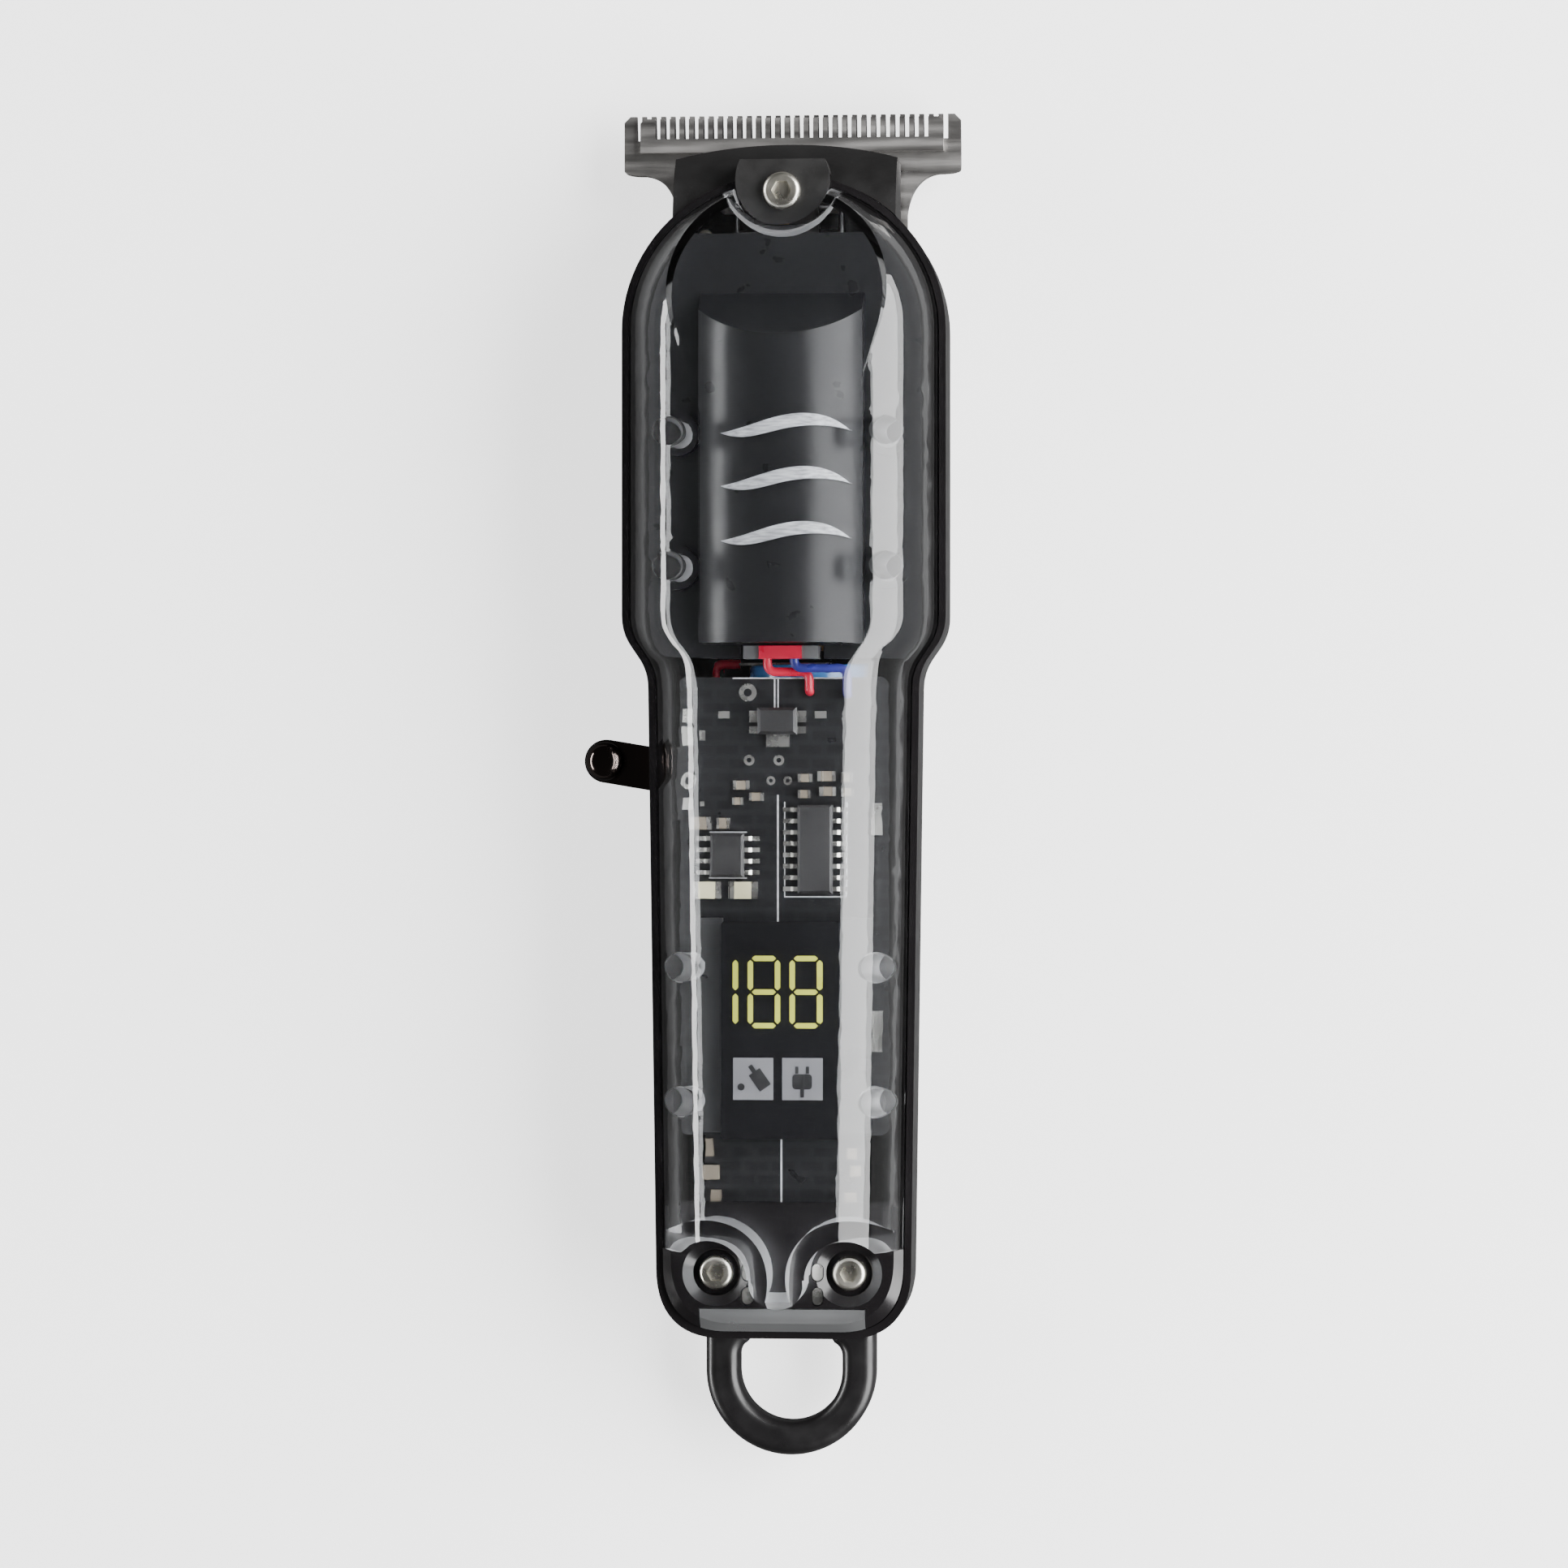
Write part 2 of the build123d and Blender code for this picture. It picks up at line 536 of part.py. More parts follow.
def hanging_loop():
    """Flat ring with a D-shaped eye and a flanged shank that the housing traps."""
    ring = Pos(0, LOOP_CENTRE_Y) * Circle(LOOP_RADIUS)
    root_y = TAIL_Y + 4.0
    web = Pos(0, (root_y + LOOP_CENTRE_Y) / 2) * Rectangle(2 * LOOP_RADIUS, root_y - LOOP_CENTRE_Y)
    eye_low = Pos(0, LOOP_CENTRE_Y) * Circle(LOOP_HOLE_RADIUS)
    eye_height = LOOP_HOLE_TOP_Y - LOOP_CENTRE_Y
    eye_high = Pos(0, LOOP_CENTRE_Y + eye_height / 2) * Rectangle(2 * LOOP_HOLE_RADIUS, eye_height)
    eye_top = fillet(eye_high.vertices().group_by(Axis.Y)[-1], 1.7)
    body = extrude(Pos(0, 0, LOOP_Z) * (ring + web - eye_low - eye_top), LOOP_THICKNESS)
    rims = [edge for edge in body.edges() if edge.center().Y < TAIL_Y + 2
            and abs(edge.tangent_at(0.5).Z) < 0.5]
    body = fillet(rims, LOOP_EDGE) - housing_outside(FIT)
    z_middle = LOOP_Z + LOOP_THICKNESS / 2
    inner_y = TAIL_Y + HOUSING_WALL + FIT
    z_range = (z_middle - SHANK_THICKNESS / 2, z_middle + SHANK_THICKNESS / 2)
    flange_y = inner_y + FLANGE_STAND_OFF
    shank = block((-SHANK_HALF, SHANK_HALF), (LOOP_HOLE_TOP_Y + 0.4, flange_y + 0.5), z_range)
    flange = block((-FLANGE_HALF, FLANGE_HALF), (flange_y, flange_y + 1.4), z_range)
    return body + shank + flange


def lever_slot():
    """Cut in the left wall that lets the lever swing between its two ends."""
    reach = -HANDLE_TOP_HALF_WIDTH - LEVER_PIVOT[0]
    high = LEVER_PIVOT[1] - reach * tan(radians(LEVER_REST_ANGLE))
    low = LEVER_PIVOT[1] - reach * tan(radians(LEVER_END_ANGLE))
    half = LEVER_HALF_WIDTH / cos(radians(LEVER_END_ANGLE)) + GAP
    return block((-HANDLE_TOP_HALF_WIDTH - 1, -HANDLE_TOP_HALF_WIDTH + HOUSING_WALL + 1),
                 (low - half, high + half), (LEVER_Z - FIT, LEVER_Z + LEVER_THICKNESS + FIT))


def saddle(y, thickness, cut, z_low):
    """Rib across the housing floor that carries a round part, cut out to its shape."""
    half = HANDLE_TOP_HALF_WIDTH - HOUSING_WALL + 0.6
    rib = block((-half, half), (y - thickness / 2, y + thickness / 2), (FLOOR - 0.5, z_low))
    return rib - cut


def rear_housing():
    """Black rear shell with rim lip, posts, ribs, screw bosses, blade shelf and openings."""
    outside = housing_outside()
    hollow = rounded_body(HOUSING_WALL, BACK_ROUND_DEPTH, BACK_ROUND_WIDTH - HOUSING_WALL,
                          FLOOR - BACK_ROUND_DEPTH)
    hollow += prism(HOUSING_WALL, BACK_ROUND_DEPTH, RIM_Z + 1)
    body = outside - hollow
    body += prism(0, RIM_Z, RIM_Z + LIP_HEIGHT) - prism(LIP_WIDTH, RIM_Z - 1, RIM_Z + LIP_HEIGHT + 1)

    cell = rod_y(CELL_X, CELL_Z, -60, 60, CELL_RADIUS + FIT)
    motor = motor_envelope(MOTOR_RADIUS + FIT, MOTOR_FLAT_HALF + FIT, MOTOR_BACK_Y - 5, 60)
    inner = []
    for x, y in both_sides(HEAD_PEGS + HANDLE_PEGS):
        inner.append(rod(x, y, FLOOR - 0.5, SUPPORT_Z, 1.9) - cell)
    for y in (CELL_TOP_Y - 8, CELL_TOP_Y - CELL_LENGTH + 8):
        inner.append(saddle(y, 1.6, cell, CELL_Z - 2))
    for y in (MOTOR_BACK_Y + 6, MOTOR_FRONT_Y - 6):
        inner.append(saddle(y, 1.6, motor, MOTOR_Z - 4))
    pivot_x, pivot_y = LEVER_PIVOT
    inner.append(rod(pivot_x, pivot_y, FLOOR - 0.5, LEVER_Z - FIT, 1.7) - cell)
    for x, y in both_sides([TAIL_SCREW]):
        inner.append(rod(x, y, FLOOR - 0.5, RIM_Z, BOSS_RADIUS))
    inner.append(block((-HEAD_COVER_HALF, HEAD_COVER_HALF), (BLADE_SEAT_Y - 1.2, SHELF_END_Y),
                       (BLADE_SEAT_Z, SHELF_TOP_Z)))
    inner.append(rod(0, TOP_SCREW_Y, YOKE_OPENING_TOP_Z, RIM_Z, BOSS_RADIUS + 0.3))
    for x, y in both_sides([CHARGE_POSTS]):
        inner.append(rod(x, y, FLOOR - 0.5, CHARGE_BOARD_Z, 1.5))
    for side in (1, -1):
        inner.append(bracket_guide(side))
    for piece in inner:
        body += piece & outside
    body += rod(0, TOP_SCREW_Y, RIM_Z - 0.5, TAB_Z, SCREW_SHANK + 0.9)

    end = FIXED_TIP_Y
    body -= block((-30, 30), (BLADE_SEAT_Y, end), (-1, BLADE_SEAT_Z))
    body -= block((-30, 30), (SHELF_END_Y, end), (-1, MOVING_CLEAR_Z))
    opening = (-YOKE_OPENING_HALF, YOKE_OPENING_HALF)
    body -= block(opening, (SHELF_END_Y - 4, end), (SHELF_TOP_Z, YOKE_OPENING_TOP_Z))
    body -= block(opening, (SHELF_END_Y, end), (MOVING_CLEAR_Z - 1, YOKE_OPENING_TOP_Z))
    body -= lever_slot()
    hole = SCREW_SHANK + SCREW_HOLE_GAP / 2
    for x, y in both_sides([TAIL_SCREW]):
        body -= rod(x, y, FLOOR + 1.0, RIM_Z + 1, hole)
    body -= rod(0, TOP_SCREW_Y, YOKE_OPENING_TOP_Z - 1, TAB_Z + 1, hole)
    body -= rod(pivot_x, pivot_y, FLOOR + 2, LEVER_Z + 1, hole)
    for x, y in both_sides([BLADE_SCREW]):
        body -= rod(x, y, BLADE_SEAT_Z - 1, SHELF_TOP_Z + 1, hole)
    z_middle = LOOP_Z + LOOP_THICKNESS / 2
    shank_end = TAIL_Y + HOUSING_WALL + FIT + FLANGE_STAND_OFF
    body -= block((-SHANK_HALF - FIT, SHANK_HALF + FIT), (TAIL_Y - 1, shank_end),
                  (z_middle - SHANK_THICKNESS / 2 - FIT, z_middle + SHANK_THICKNESS / 2 + FIT))
    return body - usb_outline(0.15, TAIL_Y - 1, TAIL_Y + HOUSING_WALL + 1)


def bracket_guide(side):
    """Pair of ribs on one side wall with a slot that takes the motor bracket."""
    y = MOTOR_FRONT_Y + BRACKET_THICKNESS / 2 + FIT
    rib = block(sorted((side * (BRACKET_HALF - 1.2), side * (HEAD_HALF_WIDTH - 1))),
                (y - 2.4, y + 2.4), (FLOOR - 0.5, BRACKET_TOP_Z - 1))
    slot = block((-BRACKET_HALF - FIT, BRACKET_HALF + FIT),
                 (y - BRACKET_THICKNESS / 2 - FIT, y + BRACKET_THICKNESS / 2 + FIT), (FLOOR, RIM_Z))
    return rib - slot


def usb_outline(gap, y_low, y_high):
    """Rounded slot section of the charging socket, run along Y."""
    section = Plane.XZ * SlotOverall(USB_WIDTH + 2 * gap, USB_HEIGHT + 2 * gap)
    middle_z = CHARGE_BOARD_Z - USB_HEIGHT / 2 - 0.05
    return Pos(0, y_high, middle_z) * extrude(section, y_high - y_low)


def head_cover():
    """Matt black cover over the blade drive, with a screw tab that reaches into the notch."""
    plan = make_face([
        Line((HEAD_COVER_HALF, HEAD_COVER_BACK_Y), (HEAD_COVER_HALF, HEAD_COVER_CORNER_Y)),
        ThreePointArc((HEAD_COVER_HALF, HEAD_COVER_CORNER_Y), (0, HEAD_COVER_PEAK_Y),
                      (-HEAD_COVER_HALF, HEAD_COVER_CORNER_Y)),
        Line((-HEAD_COVER_HALF, HEAD_COVER_CORNER_Y), (-HEAD_COVER_HALF, HEAD_COVER_BACK_Y)),
        Line((-HEAD_COVER_HALF, HEAD_COVER_BACK_Y), (HEAD_COVER_HALF, HEAD_COVER_BACK_Y)),
    ])
    outer = tall(plan, HEAD_COVER_FOOT_Z, TAB_Z) & nose_wedge(0)
    inner = tall(offset(plan, -HEAD_COVER_WALL), HEAD_COVER_FOOT_Z - 1, TAB_Z) & nose_wedge(HEAD_COVER_WALL)
    dome = prism(-FIT, 0, RIM_Z + LIP_HEIGHT + FIT)
    shell = outer - inner
    tab_disc = rod(0, NOTCH_Y, MOTOR_Z, TAB_Z + TAB_THICKNESS, NOTCH_RADIUS - TAB_GAP)
    tab = tab_disc - block((-10, 10), (HEAD_COVER_PEAK_Y - 2.6, 80), (0, 40))
    tab -= block((-20, 20), (0, HEAD_COVER_PEAK_Y - 4.1), (0, TAB_Z))
    body = (shell - dome) + (tab - dome)
    body -= rod(0, TOP_SCREW_Y, TAB_Z - 1, 30, SCREW_SHANK + SCREW_HOLE_GAP)
    return body


def nose_wedge(lower):
    """Volume under the sloping top of the head cover, lowered by `lower`."""
    peak = HEAD_COVER_PEAK_Y
    face = make_face([
        Line((HEAD_COVER_BACK_Y - 1, 0), (HEAD_COVER_BACK_Y - 1, RIM_Z + 0.5 - lower)),
        Bezier((HEAD_COVER_BACK_Y - 1, RIM_Z + 0.5 - lower), (peak - 5, RIM_Z + 0.5 - lower),
               (peak - 2, RIM_Z - 2 - lower), (peak + 0.2, MOTOR_Z - 4 - lower)),
        Line((peak + 0.2, MOTOR_Z - 4 - lower), (peak + 0.2, 0)),
        Line((peak + 0.2, 0), (HEAD_COVER_BACK_Y - 1, 0)),
    ])
    return extrude(Plane.YZ * face, HEAD_COVER_HALF + 1, both=True)


# ================= blades and drive =================

def tooth_slots(half_width, end_tooth, root_y, tip_y):
    """Plan sketch of the slots between the teeth of one blade, one of them on the middle plane."""
    each_side = int((half_width - end_tooth) / TOOTH_PITCH)
    slots = []
    for index in range(-each_side, each_side + 1):
        x = index * TOOTH_PITCH
        slots.append(Pos(x, (root_y + tip_y + 1) / 2) * Rectangle(TOOTH_SLOT, tip_y + 1 - root_y))
    return Sketch() + slots


def fixed_blade():
    """T-shaped lower blade: toothed bar, curved wings, neck with two screw holes."""
    wing_y = WING_Y
    neck_y = wing_y - WING_CURVE
    corner_y = FIXED_TIP_Y - 0.7

    def side(sign):
        half = sign * FIXED_HALF
        neck = sign * FIXED_NECK_HALF
        return [
            Line((sign * (FIXED_HALF - 0.7), FIXED_TIP_Y), (half, corner_y)),
            Line((half, corner_y), (half, wing_y + 0.6)),
            Bezier((half, wing_y + 0.6), (half, wing_y), (sign * (FIXED_HALF - 2.5), wing_y)),
            Bezier((sign * (FIXED_HALF - 2.5), wing_y), (neck + sign * 0.6, wing_y - 0.4), (neck, neck_y)),
            Line((neck, neck_y), (neck, FIXED_BACK_Y)),
        ]

    outline_edges = side(1) + side(-1) + [
        Line((FIXED_HALF - 0.7, FIXED_TIP_Y), (0.7 - FIXED_HALF, FIXED_TIP_Y)),
        Line((FIXED_NECK_HALF, FIXED_BACK_Y), (-FIXED_NECK_HALF, FIXED_BACK_Y)),
    ]
    plan = make_face(outline_edges)
    plan -= tooth_slots(FIXED_HALF, FIXED_END_TOOTH, FIXED_ROOT_Y, FIXED_TIP_Y)
    body = extrude(Pos(0, 0, FIXED_Z) * plan, FIXED_THICKNESS)
    wedge = make_face(Polyline((FIXED_TIP_Y - BEVEL_LENGTH, FIXED_Z), (FIXED_TIP_Y + 1, FIXED_Z - 1),
                               (FIXED_TIP_Y + 1, FIXED_Z + BEVEL_DEPTH * (1 + 1 / BEVEL_LENGTH)),
                               (FIXED_TIP_Y - BEVEL_LENGTH, FIXED_Z)))
    body -= extrude(Plane.YZ * wedge, FIXED_HALF + 1, both=True)
    for x, y in both_sides([BLADE_SCREW]):
        body -= rod(x, y, FIXED_Z - 1, BLADE_SEAT_Z + 1, SCREW_SHANK + SCREW_HOLE_GAP)
    return body


def moving_blade():
    """Upper blade: toothed bar on a narrower tail with two holes for the yoke pegs."""
    bar_y = (MOVING_WING_Y + MOVING_TIP_Y) / 2
    bar = Pos(0, bar_y) * Rectangle(2 * MOVING_HALF, MOVING_TIP_Y - MOVING_WING_Y)
    bar = chamfer(bar.vertices().group_by(Axis.Y)[-1], 0.5)
    tail_y = (MOVING_TAIL_Y + MOVING_WING_Y + 1) / 2
    tail = Pos(0, tail_y) * Rectangle(2 * MOVING_TAIL_HALF, MOVING_WING_Y + 1 - MOVING_TAIL_Y)
    plan = bar + tail - tooth_slots(MOVING_HALF, MOVING_END_TOOTH, MOVING_ROOT_Y, MOVING_TIP_Y)
    for side in (1, -1):
        plan -= Pos(side * YOKE_PEG_X, YOKE_FOOT_Y) * Circle(YOKE_PEG_RADIUS + 0.02)
    return extrude(Pos(0, 0, MOVING_Z) * plan, MOVING_THICKNESS)


def blade_screws():
    """Two screws that hold the fixed blade to the shelf from behind."""
    one = Rot(180, 0, 0) * screw(BLADE_SCREW_HEAD, FIXED_THICKNESS + SHELF_TOP_Z - BLADE_SEAT_Z - 0.4,
                                 head_height=1.0)
    return group([Pos(x, y, FIXED_Z) * one for x, y in both_sides([BLADE_SCREW])])


def drive_yoke():
    """Nylon fork that turns the crank pin's circle into the side stroke of the moving blade."""
    slot_half = CRANK_PIN_RADIUS + 2 * BLADE_STROKE + 0.15
    fork = block((-slot_half - 1.4, slot_half + 1.4), (YOKE_FORK_Y, YOKE_FORK_Y + YOKE_THICKNESS),
                 (YOKE_ARM_Z, RIM_Z - 0.2))
    fork -= block((-slot_half, slot_half), (YOKE_FORK_Y - 1, YOKE_FORK_Y + YOKE_THICKNESS + 1),
                  (MOTOR_Z - BLADE_STROKE - CRANK_PIN_RADIUS - GAP, RIM_Z + 1))
    arm = block((-YOKE_HALF, YOKE_HALF), (YOKE_FORK_Y, YOKE_FOOT_Y + 1.6),
                (YOKE_ARM_Z, YOKE_ARM_Z + YOKE_ARM_THICKNESS))
    foot = block((-YOKE_HALF, YOKE_HALF), (YOKE_FOOT_Y - 1.6, YOKE_FOOT_Y + 1.6),
                 (MOVING_Z + MOVING_THICKNESS, YOKE_ARM_Z + 0.5))
    body = fork + arm + foot
    for side in (1, -1):
        body += rod(side * YOKE_PEG_X, YOKE_FOOT_Y, MOVING_Z + 0.1, YOKE_ARM_Z, YOKE_PEG_RADIUS)
    return body


def blade_tension_spring():
    """Bent wire spring screwed under the shelf edge that presses the moving blade down."""
    wire_z = MOVING_Z + MOVING_THICKNESS + SPRING_RADIUS + 0.02
    x_out = MOVING_TAIL_HALF - 1.2
    y_back = SHELF_END_Y - 2.2
    high_z = SHELF_TOP_Z + SPRING_RADIUS + 0.02
    path = FilletPolyline((-x_out, YOKE_FOOT_Y + 1.0, wire_z), (-x_out, SHELF_END_Y + 0.8, wire_z + 0.1),
                          (-x_out, SHELF_END_Y + 0.5, high_z), (-x_out, y_back, high_z),
                          (x_out, y_back, high_z), (x_out, SHELF_END_Y + 0.5, high_z),
                          (x_out, SHELF_END_Y + 0.8, wire_z + 0.1), (x_out, YOKE_FOOT_Y + 1.0, wire_z),
                          radius=0.45)
    return tube(path, SPRING_RADIUS)


def tube(path, radius):
    """Round wire along a path of straight runs and arcs."""
    start = Plane(path @ 0, z_dir=path % 0)
    return sweep(start * Circle(radius), path)


# ================= motor =================

def motor_envelope(radius, flat_half, y_low, y_high):
    """Flat-sided round bar along Y on the motor's axis."""
    bar = rod_y(0, MOTOR_Z, y_low, y_high, radius)
    return bar & block((-flat_half, flat_half), (y_low, y_high), (-10, 40))


def motor_can():
    """Drawn steel can, open at the back, with a bearing boss at the front."""
    body = motor_envelope(MOTOR_RADIUS, MOTOR_FLAT_HALF, MOTOR_BACK_Y, MOTOR_FRONT_Y)
    body -= motor_envelope(MOTOR_RADIUS - CAN_WALL, MOTOR_FLAT_HALF - CAN_WALL,
                           MOTOR_BACK_Y - 1, MOTOR_FRONT_Y - CAN_WALL)
    body += rod_y(0, MOTOR_Z, MOTOR_FRONT_Y - CAN_WALL, MOTOR_FRONT_Y + MOTOR_BOSS_LENGTH,
                  MOTOR_BOSS_RADIUS)
    body -= rod_y(0, MOTOR_Z, MOTOR_FRONT_Y - 3, MOTOR_FRONT_Y + 3, BUSH_RADIUS)
    for side in (1, -1):
        body -= rod_y(side * MOTOR_SCREW_X, MOTOR_Z, MOTOR_FRONT_Y - 2, MOTOR_FRONT_Y + 1, 0.85)
    return body


def motor_magnets():
    """Two arc magnets above and below the armature."""
    bore = MOTOR_RADIUS - CAN_WALL - MAGNET_THICKNESS
    y_range = (ARMATURE_BACK_Y - 1, ARMATURE_BACK_Y + ARMATURE_LENGTH + 1)
    shell = rod_y(0, MOTOR_Z, *y_range, MOTOR_RADIUS - CAN_WALL) - rod_y(0, MOTOR_Z, *y_range, bore)
    shell &= block((-5.6, 5.6), y_range, (-10, 40))
    return group([shell])


def motor_end_cap():
    """Plastic end cap pressed into the back of the can, bored for the rear bush."""
    inside = MOTOR_RADIUS - CAN_WALL
    flat = MOTOR_FLAT_HALF - CAN_WALL
    body = motor_envelope(inside, flat, MOTOR_BACK_Y, MOTOR_BACK_Y + 2.6)
    body += rod_y(0, MOTOR_Z, MOTOR_BACK_Y - 1.2, MOTOR_BACK_Y + 1, MOTOR_BOSS_RADIUS)
    body -= rod_y(0, MOTOR_Z, MOTOR_BACK_Y - 2, MOTOR_BACK_Y + 3, BUSH_RADIUS)
    for side in (1, -1):
        inner, outer = BRUSH_ARM_X
        body -= block(sorted((side * (inner - FIT), side * (outer + FIT))),
                      (MOTOR_BACK_Y - 1, MOTOR_BACK_Y + 3), (MOTOR_Z - 1.0, MOTOR_Z + 1.0))
    return body


def motor_brushes():
    """Two brush arms that run from the rear terminals to the commutator."""
    pieces = []
    tip_y = COMMUTATOR_BACK_Y + COMMUTATOR_LENGTH / 2 + 0.8
    inner, outer = BRUSH_ARM_X
    for side in (1, -1):
        arm = block(sorted((side * inner, side * outer)), (MOTOR_BACK_Y - 0.9, tip_y),
                    (MOTOR_Z - 0.9, MOTOR_Z + 0.9))
        brush = block(sorted((side * (COMMUTATOR_RADIUS + 0.08), side * inner)), (tip_y - 1.6, tip_y),
                      (MOTOR_Z - 0.9, MOTOR_Z + 0.9))
        tag = block(sorted((side * inner, side * outer)), (MOTOR_BACK_Y - 2.0, MOTOR_BACK_Y - 0.9),
                    (MOTOR_Z - 0.9, PLUG_Z))
        pieces.append(arm + brush + tag)
    return group(pieces)


def motor_bushes():
    """Sintered bronze bushes at both ends of the shaft."""
    bore = SHAFT_RADIUS + RUNNING_FIT
    pieces = []
    for low, high in ((MOTOR_BACK_Y - 1.2, MOTOR_BACK_Y + 1.8),
                      (MOTOR_FRONT_Y - 1.5, MOTOR_FRONT_Y + MOTOR_BOSS_LENGTH)):
        pieces.append(rod_y(0, MOTOR_Z, low, high, BUSH_RADIUS)
                      - rod_y(0, MOTOR_Z, low - 1, high + 1, bore))
    return group(pieces)


def motor_bracket():
    """Steel plate that holds the motor's nose between the guide ribs."""
    y_low = MOTOR_FRONT_Y + FIT
    y_high = y_low + BRACKET_THICKNESS
    plate = block((-BRACKET_HALF, BRACKET_HALF), (y_low, y_high), (FLOOR + FIT, BRACKET_TOP_Z))
    floor_shape = prism(HOUSING_WALL + FIT, 0, RIM_Z)
    plate &= floor_shape
    for side in (1, -1):
        corner = block(sorted((side * (BRACKET_HALF - 3.5), side * 20)), (y_low - 1, y_high + 1), (-1, 5.2))
        plate -= corner
        plate -= rod_y(side * MOTOR_SCREW_X, MOTOR_Z, y_low - 1, y_high + 1, 0.95)
    plate -= rod_y(0, MOTOR_Z, y_low - 1, y_high + 1, MOTOR_BOSS_RADIUS + FIT)
    return plate


def motor_screws():
    """Two short screws through the bracket into the can."""
    one = Rot(-90, 0, 0) * screw(1.5, BRACKET_THICKNESS + 1.6, 0.8, 0.9)
    y = MOTOR_FRONT_Y + FIT + BRACKET_THICKNESS
    return group([Pos(side * MOTOR_SCREW_X, y, MOTOR_Z) * one for side in (1, -1)])


def rotor_shaft():
    """Steel shaft of the motor."""
    return rod_y(0, MOTOR_Z, MOTOR_BACK_Y - 1.0, CAM_BACK_Y + CAM_LENGTH - 0.6, SHAFT_RADIUS)


def rotor_core():
    """Three-pole armature stack with its windings' envelope."""
    y_low = ARMATURE_BACK_Y
    y_high = y_low + ARMATURE_LENGTH
    body = rod_y(0, MOTOR_Z, y_low, y_high, ARMATURE_RADIUS)
    for turn in range(3):
        slot = block((-0.6, 0.6), (y_low - 1, y_high + 1), (3.2, ARMATURE_RADIUS + 1))
        body -= Pos(0, 0, MOTOR_Z) * Rot(0, 120 * turn, 0) * slot
    return body - rod_y(0, MOTOR_Z, y_low - 1, y_high + 1, SHAFT_RADIUS)


def commutator():
    """Copper commutator behind the armature."""
    y_high = COMMUTATOR_BACK_Y + COMMUTATOR_LENGTH
    body = rod_y(0, MOTOR_Z, COMMUTATOR_BACK_Y, y_high, COMMUTATOR_RADIUS)
    return body - rod_y(0, MOTOR_Z, COMMUTATOR_BACK_Y - 1, y_high + 1, SHAFT_RADIUS)


def eccentric_cam():
    """Hub on the shaft end with an off-centre crank pin."""
    y_high = CAM_BACK_Y + CAM_LENGTH
    hub = rod_y(0, MOTOR_Z, CAM_BACK_Y, y_high, CAM_RADIUS)
    hub -= rod_y(0, MOTOR_Z, CAM_BACK_Y - 1, y_high - 0.6, SHAFT_RADIUS)
    return hub + rod_y(0, MOTOR_Z + BLADE_STROKE, y_high - 0.3, y_high + CRANK_PIN_LENGTH, CRANK_PIN_RADIUS)


def motor_cover():
    """Dark inner cover: flat plate, slanted bulge over the motor, three waves, four peg sockets."""
    plan = outline(MOTOR_COVER_INSET, 0)
    plan &= Pos(0, (MOTOR_COVER_TOP_Y + MOTOR_COVER_FOOT_Y) / 2) * Rectangle(
        60, MOTOR_COVER_TOP_Y - MOTOR_COVER_FOOT_Y)
    plate = tall(plan, SUPPORT_Z, PLATE_TOP_Z)
    outer_radius = MOTOR_RADIUS + BULGE_GAP + BULGE_WALL
    outer_half = MOTOR_FLAT_HALF + BULGE_GAP + BULGE_WALL
    bulge = bulge_volume(outer_radius, outer_half, 0)
    hollow = bulge_volume(outer_radius - BULGE_WALL, outer_half - BULGE_WALL, BULGE_WALL)
    body = plate + bulge - hollow
    body -= block((-PLUG_NOTCH_HALF, PLUG_NOTCH_HALF), (MOTOR_COVER_FOOT_Y - 1, PLUG_Y[1] + FIT),
                  (SUPPORT_Z - 1, PLATE_TOP_Z + 1))
    for x, y in both_sides(HEAD_PEGS):
        body += rod(x, y, PLATE_TOP_Z, PLATE_TOP_Z + SOCKET_HEIGHT, PEG_RADIUS + PEG_GAP + SOCKET_WALL)
        body -= rod(x, y, PLATE_TOP_Z, PLATE_TOP_Z + SOCKET_HEIGHT + 1, PEG_RADIUS + PEG_GAP)
    skin = rod_y(0, MOTOR_Z, MOTOR_COVER_FOOT_Y, MOTOR_FRONT_Y, outer_radius + WAVE_HEIGHT)
    skin -= rod_y(0, MOTOR_Z, MOTOR_COVER_FOOT_Y - 1, MOTOR_FRONT_Y + 1, outer_radius - 0.3)
    for y in WAVE_Y:
        body += tall(Pos(0, y) * wave(), MOTOR_Z, 40) & skin
    return body


def bulge_volume(radius, half, shrink):
    """Arched block over the motor whose front end slopes down to the plate."""
    back_y = MOTOR_BACK_Y - FIT - BULGE_WALL + shrink
    ridge_y = MOTOR_FRONT_Y + BULGE_GAP + (BULGE_WALL - shrink) / 2
    top_z = MOTOR_Z + radius
    body = motor_envelope(radius, half, back_y, ridge_y + BULGE_SLOPE)
    side = make_face(Polyline((back_y, SUPPORT_Z - (1 if shrink else 0)), (back_y, top_z), (ridge_y, top_z),
                              (ridge_y + BULGE_SLOPE, PLATE_TOP_Z - shrink),
                              (ridge_y + BULGE_SLOPE, SUPPORT_Z - (1 if shrink else 0)),
                              (back_y, SUPPORT_Z - (1 if shrink else 0))))
    return body & extrude(Plane.YZ * side, 30, both=True)


def wave():
    """S-shaped rib in plan, thin at both ends."""
    left = (-6.4, -0.9)
    right = (8.0, -0.6)
    upper = Spline(left, (-3.0, -0.1), (0.8, 0.95), (4.0, 1.15), right)
    lower = Spline(right, (4.5, -0.15), (1.0, -0.5), (-3.0, -1.35), left)
    return make_face([upper, lower])


# ================= battery and wiring =================

